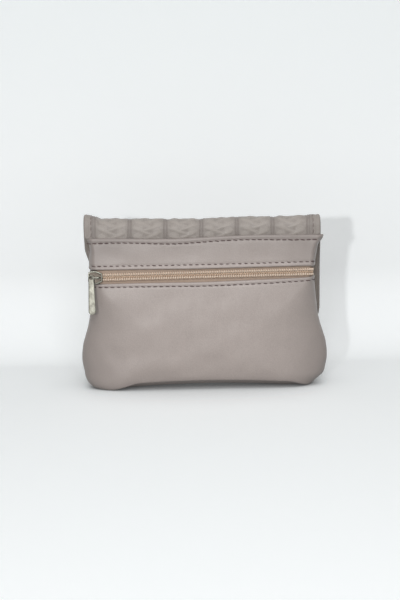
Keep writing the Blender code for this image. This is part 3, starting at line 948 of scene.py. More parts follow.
@dataclass
class LeatherBody:
    """Back panels with the zip's window, front panel and gussets."""

    sizes: PurseSizes = SIZES
    columns: int = 161
    front_columns: int = 121
    base_rows: int = 9
    clearance: float = 0.02 * MM
    hem_rise: float = 0.8 * MM
    hem_waves: Tuple[Swell, ...] = (Swell(0.40 * MM, 30 * MM, 17 * MM), Swell(0.75 * MM, -16 * MM, 17 * MM))
    hem_stitch_drop: float = 2.2 * MM
    hem_flare: float = 1.1 * MM
    hem_draw: float = 2.4 * MM
    mouth_drop: float = 2.6 * MM
    edge_round: float = 0.45 * MM
    lip_places: Table = (-0.060, -0.035, 0.0, 0.026, 0.054, 0.064)
    upper_lip: Table = (0.00421, 0.00395, 0.0034, 0.0034, 0.0034, 0.0026)
    lower_lip: Table = (0.00385, 0.00395, 0.00435, 0.00395, 0.0034, 0.0024)
    row_places: Table = (-0.060, -0.020, 0.0, 0.030, 0.060)
    upper_row: Table = (0.0060, 0.0055, 0.0054, 0.0053, 0.0054)
    lower_row: Table = (0.0053, 0.0058, 0.0061, 0.0057, 0.0046)
    stitch_pitch: float = 3.3 * MM
    groove_depth: float = 0.34 * MM
    crumple: float = 0.32 * MM
    dent: float = 0.9 * MM
    fold: float = 0.45 * MM
    full_top: float = 0.9 * MM
    hollow_top: float = 1.2 * MM
    snap_seat: float = 13.0 * MM
    gusset_cloth: float = 0.8 * MM
    gusset_hem: float = 1.0 * MM
    tape_turn: float = 0.8
    back: Wall = field(default_factory=lambda: Wall(Side.BACK))
    front: Wall = field(default_factory=lambda: Wall(Side.FRONT))

    def zip_line(self, x: Array) -> Array:
        """Height of the chain's middle: a straight line that rises to the right."""
        return self.sizes.zip_height + self.sizes.zip_rise * x

    def lip_height(self, x: Array, above: bool) -> Array:
        """Height of the window's upper or lower edge, which closes in a little towards the right."""
        reach = through(self.lip_places, self.upper_lip if above else self.lower_lip, x)
        return self.zip_line(x) + reach * (1.0 if above else -1.0)

    def hem_height(self, x: Array) -> Array:
        """Height of the hem: level at the left, a sag left of the middle, a rise to the right."""
        rise, sag = (wave.at(x) for wave in self.hem_waves)
        return self.sizes.hem + self.hem_rise + (rise - sag) + 0.10 * MM * np.sin(x / 0.013)

    def stitch_height(self, x: Array, row: Row) -> Array:
        """Height of a row of stitches on the back.

        Args:
            x: places along the row.
            row: which row.

        Returns:
            Heights: a drop below the hem, or a curve through a table from the zip's line.
        """
        if row is Row.HEM:
            return self.hem_height(x) - self.hem_stitch_drop + 0.12 * MM * np.sin(x / 0.009)
        if row is Row.UPPER:
            return self.zip_line(x) + through(self.row_places, self.upper_row, x)
        return self.zip_line(x) - through(self.row_places, self.lower_row, x)

    def groove(self, x: Array, z: Array, row: Row) -> Array:
        """Dip of the leather along a row of stitches: a bell across it, and a cosine from hole to hole."""
        pull = 0.75 + 0.25 * np.cos(2 * math.pi * x / self.stitch_pitch)
        return -self.groove_depth * pull * bell((z - self.stitch_height(x, row)) / (0.75 * MM))

    def still(self, z: Array, u: Array) -> Array:
        """Share of a wall's crumples that shows: none at its sides and its foot."""
        return smooth01((1.0 - np.abs(u)) / 0.20) * smooth01(z / (7 * MM))

    def back_swell(self, x: Array, z: Array, u: Array) -> Array:
        """Swelling of the back's leather along its normal.

        The sum of two soft crumples, a dent left of the middle above the zip, slack folds in the
        lower corners, a fuller top that hollows to its sides, the stitch rows' dips and the puffed
        leather between rows and edges.

        Args:
            x: places along the zip.
            z: heights.
            u: places across the wall, -1 to 1.

        Returns:
            Distances along the normal.
        """
        zip_height = self.sizes.zip_height
        soft = self.crumple * ripple(x, 1.4 * z, 30 * MM, 11) + 0.30 * self.crumple * ripple(x, z, 11 * MM, 23)
        near_zip = 1.0 - 0.6 * bell((z - zip_height) / (9 * MM))
        dent = -self.dent * bell((x + 52 * MM) / (8 * MM)) * bell((z - 74 * MM) / (5 * MM))
        fold = (self.fold * bell((np.abs(x) - 52 * MM - 0.5 * (z - 14 * MM)) / (5 * MM))
                * bell((z - 16 * MM) / (12 * MM)))
        total = self.still(z, u) * (soft * near_zip + dent + fold)
        high = smooth01((z - zip_height - 5 * MM) / (13 * MM))
        total = total + high * (self.full_top - self.hollow_top * Ease(42 * MM, 18 * MM).at(np.abs(x)))
        for row in Row:
            total = total + self.groove(x, z, row)
        for puff, line, above, reach in ((0.26 * MM, self.hem_height(x), -0.9 * MM, 1.0 * MM),
                                         (0.22 * MM, self.lip_height(x, True), 0.7 * MM, 0.9 * MM),
                                         (0.24 * MM, self.lip_height(x, False), -0.9 * MM, 1.1 * MM)):
            total = total + puff * bell((z - line - above) / reach)
        return total

    def front_swell(self, x: Array, z: Array, u: Array) -> Array:
        """Swelling of the front's leather: a soft crumple, kept flat round the snap, and a mouth groove.

        Args:
            x: places across.
            z: heights.
            u: places across the wall, -1 to 1.

        Returns:
            Distances along the normal.
        """
        seat = 1.0 - bell(np.hypot(x, z - self.sizes.snap_height) / self.snap_seat)
        top = -0.30 * MM * bell((z - self.sizes.front_top + self.mouth_drop) / (0.8 * MM))
        return 0.20 * MM * self.still(z, u) * seat * (ripple(x, 1.3 * z, 28 * MM, 37) - 0.6) + top

    def skins(self, wall: Wall, z: Array, u: Array, base: bool) -> Tuple[Array, Array]:
        """Outer and inner skin of a panel.

        The skins swell along the normal, the inner one half as far inwards. Under the base they run
        level to the seam, with a low arch of a sine, less the wall's slack.

        Args:
            wall: the wall it follows.
            z: heights, a grid or a column.
            u: places across, a row.
            base: whether the panel also turns in under the base.

        Returns:
            The two grids of points.
        """
        s = self.sizes
        x = wall.points(z, u)[..., 0]
        swell = self.back_swell(x, z, u) if wall.side is Side.BACK else self.front_swell(x, z, u)
        outer = wall.points(z, u)
        inner = wall.points(z, u, s.leather)
        n = normals(outer, (0.0, float(wall.side.value), 0.0))
        fade = smooth01((1.0 - np.abs(u)) / 0.05)[..., None]
        outer = outer + n * swell[..., None] * fade
        sunk, raised = np.minimum(swell, 0.0)[..., None], np.maximum(swell, 0.0)[..., None]
        inner = inner + n * sunk * fade * 0.5 + n * raised * fade
        if not base:
            return outer, inner
        lift = s.leather * (1.0 - clamp01(z / s.corner))
        inner = inner + stacked(0.0, 0.0, lift)
        shares = (np.arange(self.base_rows, 0, -1) / self.base_rows)[:, None]
        seam = SEAM_Y + wall.side.value * s.gap / 2
        skins = []
        for grid, least in ((outer, self.clearance), (inner, self.clearance + s.leather)):
            x, y, z = (grid[:1, :, axis] for axis in range(3))
            y = y + (seam - y) * shares
            arch = 0.25 * MM * np.sin(math.pi * shares) * smooth01((1 - np.abs(u[:1])) / 0.3)
            low = np.maximum(z + arch - wall.slack(x) * smooth01(shares * 1.15), least)
            skins.append(np.concatenate((stacked(x, y, low), grid)))
        return skins[0], skins[1]

    def low_rows(self, top: float, count: int) -> Array:
        """Heights from the base up: even steps of angle round the belly, then even steps."""
        low = self.sizes.belly_height * (1.0 - np.cos(np.linspace(0, math.pi / 2, 18)[:-1]))
        return np.concatenate((low, np.linspace(self.sizes.belly_height, top, count)))

    def across(self, columns: int) -> Array:
        """Places across a wall, as a row."""
        return np.linspace(-1, 1, columns)[None, :]

    def zip_x(self) -> Array:
        """Places along the zip, one for each column of the back."""
        return self.back.points(self.sizes.zip_height, self.across(self.columns))[0, :, 0]

    def build_lower(self) -> Piece:
        """Back panel below the zip, from the seam under the base to the window's lower lip.

        Returns:
            The panel.
        """
        rows = self.low_rows(self.sizes.zip_height - 9.5 * MM, 30)
        near = np.linspace(0.0, 1.0, 24)[1:]
        lip = self.lip_height(self.zip_x(), False)[None, :]
        grid = np.concatenate((np.broadcast_to(rows[:, None], (len(rows), self.columns)),
                               rows[-1] + (lip - rows[-1]) * near[:, None]))
        outer, inner = self.skins(self.back, grid, self.across(self.columns), True)
        return sheet("back_lower_leather", outer, inner, BODY_LEATHER, self.edge_round)

    def build_upper(self) -> Piece:
        """Back panel above the zip, from the window's upper lip to the hem.

        Returns:
            The panel.
        """
        s = self.sizes
        x = self.zip_x()
        lip, hem = self.lip_height(x, True)[None, :], self.hem_height(x)[None, :]
        grid = lip + (hem - lip) * np.linspace(0, 1, 44)[:, None]
        outer, inner = self.skins(self.back, grid, self.across(self.columns), False)
        xx = self.back.points(grid, self.across(self.columns))[..., 0]
        flare = self.hem_flare * Ease(50 * MM, 14 * MM).at(xx) * smooth01((grid - s.hem + 4.5 * MM) / (4 * MM))
        high = clamp01((grid - s.zip_height - 4 * MM) / (s.hem - s.zip_height - 4 * MM))
        flare = flare + self.hem_draw * Ease(46 * MM, 18 * MM).at(-xx) * smooth01(high)
        outer[..., 0] += flare
        inner[..., 0] += flare
        return sheet("back_upper_leather", outer, inner, BODY_LEATHER, self.edge_round)

    def build_front(self) -> Piece:
        """Front panel, from the seam under the base to the mouth.

        Returns:
            The panel.
        """
        rows = self.low_rows(self.sizes.front_top, 46)
        outer, inner = self.skins(self.front, rows[:, None], self.across(self.front_columns), True)
        return sheet("front_leather", outer, inner, BODY_LEATHER, self.edge_round)

    def build_gusset(self, side: int) -> Piece:
        """V fold of thin leather between the walls at one side.

        Across, the fold is a triangle wave with a rounded tip; upwards it opens from nothing.

        Args:
            side: -1 for the left, 1 for the right.

        Returns:
            The gusset.
        """
        s = self.sizes
        z = np.linspace(s.gusset_start + self.gusset_hem, s.gusset_top, 34)[:, None]
        w = np.linspace(-1, 1, 23)[None, :]
        back_edge, front_edge = self.back.edge(z), self.front.edge(z)
        reach = self.gusset_hem / (self.front.depth(z) - s.leather - front_edge)
        last = math.pi / 2 * self.tape_turn
        sink = (self.back.shoulder(z) - s.leather) * (1.0 - math.sin(last)) * reach / math.cos(last)
        x = self.back.half_width(z) - s.leather - s.gap - sink
        deep = s.gap + s.gusset_fold * clamp01((z - s.gusset_start) / (s.gusset_top - s.gusset_start))
        span = (back_edge + front_edge) / 2 + self.gusset_hem
        middle = (front_edge - back_edge) / 2
        y = middle + span * w
        inside = clamp01(1.0 - np.abs(w) * span / (span - self.gusset_hem))
        fold = 1.0 - np.sqrt((1.0 - inside) ** 2 + 0.02) + 0.07
        across = x - deep * clamp01(fold) + 0.12 * MM * ripple(y * 3, z, 9 * MM, 51 + side) * inside
        placed = side * across + self.back.tuck(side * across, z)
        grid = stacked(placed, y + SEAM_Y, z)
        shift = np.array((side * self.gusset_cloth, 0.0, 0.0))
        name = "gusset_leather_left" if side < 0 else "gusset_leather_right"
        return sheet(name, grid, grid - shift, GUSSET_LEATHER, 0.2 * MM)

    def dress(self) -> List[Piece]:
        """Build every leather piece, hang it on the purse's body and hide the frame's part it takes the place of.

        Returns:
            The pieces.
        """
        made = {"back_lower_panel": self.build_lower(), "back_upper_panel": self.build_upper(),
                "front_panel": self.build_front(), "gusset_left": self.build_gusset(-1),
                "gusset_right": self.build_gusset(1)}
        for node, piece in made.items():
            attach(piece, "purse_body")
            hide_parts(node)
        return list(made.values())


@dataclass
class StitchMaker:
    """Rows of short thread stitches, each a capsule that dips into its holes."""

    length: float = 2.55 * MM
    radius: float = 0.27 * MM
    sink: float = 0.22 * MM
    lean: float = 0.06
    rings: int = 6
    sides: int = 6

    def row(self, name: str, centres: Array, along: Array, up: Array, finish: Thread, seed: int) -> Piece:
        """One row of stitches as a single mesh.

        Each capsule's radius is the fourth root of one minus the fourth power of its place, and
        its middle line sinks with the square of that place.

        Args:
            name: name of the piece.
            centres: middle of each stitch, on the leather.
            along: direction of each stitch.
            up: outward direction at each stitch.
            finish: the thread.
            seed: fixes the small differences between stitches.

        Returns:
            The row.
        """
        rng = np.random.default_rng(seed)
        count = len(centres)
        along = unit(along)
        up = unit(up - along * np.sum(up * along, axis=1, keepdims=True))
        side = np.cross(along, up)
        along = along + side * (rng.uniform(-0.10, 0.10, (count, 1)) + self.lean)
        half = self.length / 2 * rng.uniform(0.90, 1.08, (count, 1, 1, 1))
        thick = self.radius * rng.uniform(0.92, 1.08, (count, 1, 1, 1))
        t = np.linspace(-0.985, 0.985, self.rings)
        round_end = (1.0 - t ** 4) ** 0.25
        angle = circle(self.sides)
        # Axes: stitch, place along it, angle round it, coordinate
        middle, along, side, up = (part[:, None, None, :] for part in (centres, along, side, up))
        ring = np.cos(angle)[:, None] * side + np.sin(angle)[:, None] * up
        t, round_end = t[:, None, None], round_end[:, None, None]
        verts = middle + along * (half * t) - up * (self.sink * t * t) + ring * thick * round_end
        starts = np.arange(count) * self.rings * self.sides
        block = quads(self.rings, self.sides, wrap=True)
        faces = (block[None] + starts[:, None, None]).reshape(-1, 4).tolist()
        low = np.arange(self.sides)[::-1]
        high = (self.rings - 1) * self.sides + np.arange(self.sides)
        for end in (low, high):
            faces += (end[None] + starts[:, None]).tolist()
        return link(mesh_from(name, verts, faces), finish)


@dataclass
class BackStitches:
    """The three rows of stitches on the back and the row at the front's mouth."""

    body: LeatherBody
    maker: StitchMaker = field(default_factory=StitchMaker)
    ends: Dict[Row, Pair] = field(default_factory=lambda: {
        Row.HEM: (-0.0615, 0.0620), Row.UPPER: (-0.0592, 0.0605), Row.LOWER: (-0.0588, 0.0603)})
    mouth_ends: Pair = (-0.058, 0.0585)

    def on_wall(self, wall: Wall, name: str, x: Array, z: Array, swell: Array, seed: int) -> Piece:
        """Row of stitches that follows a wall round its shoulders.

        Args:
            wall: the wall it is sewn on.
            name: name of the piece.
            x: places along the row.
            z: heights.
            swell: the leather's swelling there.
            seed: fixes the small differences.

        Returns:
            The row.
        """
        step = 0.2 * MM

        def at(px: Array, pz: Array) -> Array:
            """Points of the wall."""
            return stacked(px, wall.face(px, pz), pz + wall.lift(px, pz))

        here = at(x, z)
        along = at(x + step, z) - at(x - step, z)
        rise = at(x, z + step) - at(x, z - step)
        up = unit(np.cross(along, rise))
        up = np.where((up[:, 1] * wall.side.value < 0)[:, None], -up, up)
        centres = here + up * (swell[:, None] + 0.10 * MM)
        piece = self.maker.row(name, centres, along, up, SEAM_THREAD, seed)
        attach(piece, "purse_body")
        return piece

    def dress(self) -> List[Piece]:
        """Sew the hem, both sides of the zip and the front's mouth.

        Returns:
            The rows.
        """
        made = []
        body, pitch = self.body, self.body.stitch_pitch
        for seed, (row, (left, right)) in enumerate(self.ends.items()):
            x = np.arange(left, right, pitch)
            z = body.stitch_height(x, row)
            swell = body.back_swell(x, z, x / body.sizes.belly_half)
            made.append(self.on_wall(body.back, row.value + "_stitches", x, z, swell, 100 + seed))
        x = np.arange(*self.mouth_ends, pitch)
        z = np.full(x.shape, body.sizes.front_top - body.mouth_drop)
        swell = body.front_swell(x, z, x / body.sizes.belly_half)
        made.append(self.on_wall(body.front, "mouth_stitches", x, z, swell, 140))
        return made


@dataclass
class Flap:
    """One embossed leather from behind the hem, over the ridge and down the front, and its lining."""

    body: LeatherBody
    sizes: PurseSizes = SIZES
    columns: int = 289
    strip_rows: int = 26
    fold_rows: int = 40
    leaf_rows: int = 104
    border: float = 5.6 * MM
    panel_pitch: float = 19.3 * MM
    panel_shift: float = -0.5 * MM
    strand_width: float = 2.5 * MM
    strand_swing: float = 5.2 * MM
    strand_wave: float = 15.0 * MM
    relief_height: float = 0.26 * MM
    lining_offset: float = 2.2 * MM
    stitch_inset: float = 3.4 * MM
    edge_roll: float = 0.45 * MM
    leaf_draw: float = 2.5 * MM
    leaf_spread: float = 1.2 * MM
    right_spread: float = 1.3 * MM
    side_part: Ease = Ease(10 * MM, 54 * MM)
    sewn_depth: float = 0.22 * MM
    felt_offsets: Pair = (1.55 * MM, 1.9 * MM)
    ridge_places: Table = (-0.066, -0.0616, -0.0578, -0.0545, -0.0506, -0.0396, -0.023,
                           -0.001, 0.021, 0.043, 0.054, 0.0605)
    ridge_lifts: Table = (0.0019, 0.0020, 0.0012, -0.0005, -0.0004, -0.0005, -0.0010,
                          -0.0013, -0.0007, -0.0009, -0.0005, -0.0001)

    @property
    def half(self) -> float:
        """Half width of the leather's skins, inside the rolled edge."""
        return self.sizes.flap_half - self.edge_roll - 1.05 * MM

    def ridge_lift(self, x: Array) -> Array:
        """Lift of the ridge: a curve through a table, with two fine ripples."""
        line = through(self.ridge_places, self.ridge_lifts, x)
        return line + 0.12 * MM * np.sin(x / (1.3 * MM)) + 0.10 * MM * np.sin(x / (0.83 * MM) + 1.0)

    @property
    def first_row(self) -> int:
        """Number of the leaf's first row of points."""
        return self.strip_rows - 1 + self.fold_rows

    def path(self, offset: float) -> Tuple[Array, Array, Array]:
        """Side view of the flap down to the place where the leaf begins.

        A vertical line behind the hem, then an arc round the ridge's centre.

        Args:
            offset: distance inwards from the outer face.

        Returns:
            Y and Z of the rows, and the length along the path.
        """
        s = self.sizes
        radius = s.fold - offset
        has_strip = offset < s.leather + s.gap
        low = s.strip_bottom if has_strip else s.fold_centre - s.fold * math.sin(s.flap_slope)
        z = np.linspace(low, s.fold_centre, self.strip_rows)[:-1]
        angle = np.linspace(math.pi, s.flap_slope, self.fold_rows)
        ys = np.concatenate((np.full(z.shape, -radius), radius * np.cos(angle)))
        zs = np.concatenate((z, s.fold_centre + radius * np.sin(angle)))
        along = np.concatenate((z - s.fold_centre, s.fold * (math.pi - angle)))
        return ys, zs, along

    def leaf_y(self, x: Array, z: Array, offset: float) -> Array:
        """Depth of the hanging leaf.

        A straight tent from the fold to the front's mouth, then the front's own curve plus the
        stack of layers, a low swelling over the snap and a droop at each side.

        Args:
            x: places across.
            z: heights.
            offset: distance inwards from the outer face.

        Returns:
            Y from the seam plane.
        """
        s = self.sizes
        front = self.body.front
        start_z = s.fold_centre + (s.fold - offset) * math.sin(s.flap_slope)
        start_y = (s.fold - offset) * math.cos(s.flap_slope)
        join = s.front_top - s.gap
        cover = front.depth(np.minimum(z, s.front_top)) + s.standoff + s.flap_stack - offset
        low = clamp01((join - z) / (join - s.flap_bottom))
        cover = cover - s.droop * low * low * (np.abs(x) / s.flap_half) ** 6
        away = np.hypot(x, z - s.snap_height) / s.snap_reach
        cover = cover + s.snap_swell / (1.0 + away ** 4)
        share = clamp01((start_z - z) / (start_z - join))
        return np.where(z <= join, cover, start_y + (cover - start_y) * share)

    def leaf_points(self, x: Array, z: Array, offset: float) -> Array:
        """Points of the hanging leaf, with its soft wave, curled sides and lean.

        Both sides spread under the fold, by leaf_spread at the left and right_spread at the right,
        and the left one draws in by leaf_draw below that.

        Args:
            x: places across.
            z: heights.
            offset: distance inwards from the outer face.

        Returns:
            Points, with the coordinates on the last axis.
        """
        s = self.sizes
        down = s.fold_centre + s.fold * math.sin(s.flap_slope) - z
        wave = 0.5 * MM * ripple(x, 1.2 * z, 34 * MM, 71) * smooth01(down / (12 * MM))
        wave = wave * (1.0 - bell(np.hypot(x, z - s.snap_height) / (12 * MM)))
        curl = 0.5 * MM * Ease(45 * MM, 20 * MM).at(np.abs(x)) * smooth01(down / (30 * MM))
        y = self.leaf_y(x, z, offset) + np.maximum(wave + curl, -0.1 * MM)
        under_fold = smooth01(down / (8 * MM))
        draw = self.leaf_draw * Ease(13 * MM, 12 * MM).at(down) - self.leaf_spread * under_fold
        shift = draw * self.side_part.at(-x) + self.right_spread * under_fold * self.side_part.at(x)
        return stacked(x + shift, y + SEAM_Y, z)

    def surface(self, offset: float, inset: float, columns: int) -> Tuple[Array, Array, Array]:
        """Whole flap at one offset.

        Args:
            offset: distance inwards from the outer face.
            inset: how far its edges are drawn in.
            columns: points across.

        Returns:
            Points, places across in metres and length along the leather.
        """
        s = self.sizes
        ys, zs, along = self.path(offset)
        u = np.linspace(-1, 1, columns)
        full = self.half - inset
        tucked = float(self.body.back.half_width(np.array(s.strip_bottom))) - 2 * s.leather - s.shoulder_top
        wide = smooth01((zs - s.hem - s.gap) / (1.2 * MM)) * smooth01((zs - s.hem) / (0.2 * MM))
        half = np.where(zs > s.fold_centre, full, tucked + (full - tucked) * wide)
        half = np.where(np.arange(len(zs)) >= self.strip_rows - 1, full, half)
        x = half[:, None] * u[None, :]
        lift = self.ridge_lift(x) * self.over_hem(zs)[:, None]
        top = stacked(x, ys[:, None] + SEAM_Y, zs[:, None] + lift)
        across = np.broadcast_to(full * u, (self.leaf_rows, columns))
        start = zs[-1]
        bottom = s.flap_bottom + inset + self.corner_rise(across[:1], full, s.flap_corner - inset)
        z = start + (bottom - start) * np.linspace(0, 1, self.leaf_rows + 1)[1:, None]
        leaf = self.leaf_points(across, z, offset)
        fading = 1.0 - smooth01((start - z) / (7 * MM))
        leaf[..., 2] += self.ridge_lift(across) * fading * self.over_hem(start)
        length = np.concatenate((np.broadcast_to(along[:, None], x.shape), along[-1] + (start - z)))
        return np.concatenate((top, leaf)), np.concatenate((x, across)), length

    def over_hem(self, z: Array) -> Array:
        """Share of the ridge's lift that a height takes."""
        return smooth01((z - self.sizes.hem - 1.5 * MM) / (9 * MM))

    def corner_rise(self, x: Array, half: float, radius: float) -> Array:
        """Rise of a lower edge, of a half width, at its corners, each a quarter circle of a radius."""
        past = clamp01((np.abs(x) - (half - radius)) / radius)
        return radius * (1.0 - quarter(past))

    def relief(self, x: Array, length: Array) -> Array:
        """Pressed pattern: framed columns, each with a plait of three strands, inside a plain border.

        The middle of each strand is a sine of the length, a third of a turn after the last, and its
        height a sine of twice that; a strand is a half circle across, and the highest one shows.
        Pairs of narrow grooves part the columns.

        Args:
            x: places across.
            length: length along the leather.

        Returns:
            The pattern's height, about -1 to 1.
        """
        cell = (x - self.panel_shift) / self.panel_pitch
        local = (cell - np.floor(cell) - 0.5) * self.panel_pitch
        edge = self.panel_pitch / 2 - np.abs(local)
        frames = -1.25 * bell((edge - 0.62 * MM) / (0.32 * MM))
        strands = []
        for turn in range(3):
            phase = 2 * math.pi * (length / self.strand_wave + turn / 3)
            away = (local - self.strand_swing * np.sin(phase)) / self.strand_width
            strands.append(np.sqrt(clamp01(1.0 - away * away)) * (0.72 + 0.28 * np.sin(2 * phase)))
        order = np.sort(np.stack(strands), axis=0)
        crease = bell((order[2] - order[1]) / 0.12) * smooth01(order[1] / 0.35)
        cords = order[2] - 0.62 * crease
        room = self.sizes.flap_half - self.border - np.abs(x)
        return (cords + frames) * smooth01(room / (0.9 * MM)) - 0.5 * bell(room / (0.4 * MM))

    def edge_distance(self, x: Array, points: Array) -> Array:
        """Distance to the leaf's lower edge, large on the strip and the fold.

        Args:
            x: places across.
            points: points of the flap.

        Returns:
            Distances, straight up from the edge.
        """
        s = self.sizes
        hang = points[..., 2] - (s.flap_bottom + self.corner_rise(x, s.flap_half, s.flap_corner))
        return np.where(points[..., 1] > SEAM_Y, hang, 1.0)

    def outward(self, points: Array) -> Array:
        """Normals of the whole flap, turned so that those of the strip and the fold point up."""
        n = normals(points, (0.0, 0.0, 0.0))
        return -n if n[:self.first_row].mean(axis=(0, 1))[2] < 0 else n

    def build_leather(self) -> Piece:
        """The embossed leather: relief inside a plain border, the sewn dip and a soft crumple.

        Returns:
            The leather.
        """
        s = self.sizes
        outer, x, length = self.surface(0.0, 0.0, self.columns)
        inner = self.surface(s.leather, 0.0, self.columns)[0]
        hang = self.edge_distance(x, outer)
        rim = bell((hang - self.border) / (0.4 * MM)) * (np.abs(x) < s.flap_half - self.border)
        pattern = self.relief(x, length) * smooth01((hang - self.border) / (1.0 * MM)) - 0.5 * rim
        near = np.minimum(s.flap_half - np.abs(x), hang)
        sewn = bell((near - self.stitch_inset) / (0.6 * MM))
        worked = self.relief_height * pattern - self.sewn_depth * sewn + 0.10 * MM * ripple(x, length, 12 * MM, 91)
        fade = smooth01(np.arange(len(outer)) / 5.0)[:, None]
        free = smooth01((outer[..., 2] - s.hem + 0.5 * MM) / (1.0 * MM)) + (outer[..., 1] > SEAM_Y)
        outer = outer + self.outward(outer) * (worked * fade * clamp01(free))[..., None]
        return sheet("flap_leather", outer, inner, FLAP_LEATHER, self.edge_roll, pattern)

    def build_lining(self) -> Piece:
        """Cloth lining with the felt inside it, from the ridge's back to just inside the edge."""
        outer, inner = (self.surface(offset, 1.5 * MM, 97)[0] for offset in (self.lining_offset, self.sizes.flap_stack))
        return sheet("flap_lining_cloth", outer, inner, LINING_CLOTH, 0.15 * MM)

    def build_felt(self) -> Piece:
        """Felt between the leaf's leather and its lining, from just below the leaf's top."""
        outer, inner = (self.surface(offset, 3.0 * MM, 61)[0][self.first_row + 3:] for offset in self.felt_offsets)
        return sheet("flap_felt", outer, inner, FELT, 0.1 * MM)

    def sew(self) -> List[Piece]:
        """Rows of stitches down both sides of the strip and the leaf, and along its lower edge.

        Returns:
            The rows.
        """
        s = self.sizes
        outer = self.surface(0.0, 0.0, self.columns)[0]
        n = self.outward(outer)
        inset, pitch = self.stitch_inset, self.body.stitch_pitch
        made = []
        fine = StitchMaker(radius=0.16 * MM)
        for side, name in ((-1, "left"), (1, "right")):
            column = int(round((1 + side * (1 - inset / s.flap_half)) / 2 * (self.columns - 1)))
            bare = np.nonzero(outer[:self.first_row, column, 2] > s.hem + 1.6 * MM)[0]
            steps = np.linalg.norm(np.diff(outer[bare, column], axis=0), axis=1)
            run = np.concatenate(([0.0], np.cumsum(steps)))
            at = np.searchsorted(run, np.arange(0.8 * MM, run[-1], pitch))
            rows = bare[np.clip(at, 0, len(bare) - 1)]
            along = outer[np.minimum(rows + 1, len(outer) - 1), column] - outer[rows - 1, column]
            made.append(fine.row("ridge_stitches_" + name, outer[rows, column], along, n[rows, column],
                                 EDGE_THREAD, 160 + side))
        # One line round the leaf: down one side, along the bottom, up the other side
        at_x, at_z = self.leaf_line(inset, pitch)
        here = self.leaf_points(at_x, at_z, 0.0)
        along = np.gradient(here, axis=0)
        step = 0.3 * MM
        tilt = (self.leaf_y(at_x, at_z + step, 0.0) - self.leaf_y(at_x, at_z - step, 0.0)) / (2 * step)
        up = unit(stacked(0.0, 1.0, -tilt))
        made.append(StitchMaker().row("flap_border_stitches", here - up * 0.06 * MM, along, up, SEAM_THREAD, 171))
        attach(made[-1], "flap")
        return made

    def leaf_line(self, inset: float, pitch: float) -> Tuple[Array, Array]:
        """Evenly spaced places along a line inside the leaf's edge.

        Args:
            inset: distance from the edge.
            pitch: distance between places.

        Returns:
            X and Z of the places.
        """
        s = self.sizes
        top = s.fold_centre - 1.5 * MM
        half = s.flap_half - inset
        radius = s.flap_corner - inset
        low = s.flap_bottom + inset + radius
        arc = np.linspace(0, math.pi / 2, 40)
        right_x = np.concatenate(([half], half - radius + radius * np.cos(arc)))
        right_z = np.concatenate(([top], low - radius * np.sin(arc)))
        x = np.concatenate((right_x, -right_x[::-1]))
        z = np.concatenate((right_z, right_z[::-1]))
        run = np.concatenate(([0.0], np.cumsum(np.hypot(np.diff(x), np.diff(z)))))
        marks = np.linspace(pitch, run[-1] - pitch, int(run[-1] / pitch))
        return np.interp(marks, run, x), np.interp(marks, run, z)

    def dress(self) -> List[Piece]:
        """Build the flap's layers and their rows of stitches; the felt and the border stitches hang on the flap's body.

        Returns:
            The layers and the rows of stitches.
        """
        leather = self.build_leather()
        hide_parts("flap_strip", "flap_fold", "flap_leaf")
        lining = self.build_lining()
        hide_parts("flap_fold_lining", "flap_lining")
        felt = self.build_felt()
        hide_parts("flap_interlining")
        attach(felt, "flap")
        for piece in (leather, lining):
            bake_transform(piece)
        sewn = self.sew()
        for piece in sewn[:2]:
            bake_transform(piece)
        return [leather, lining, felt] + sewn


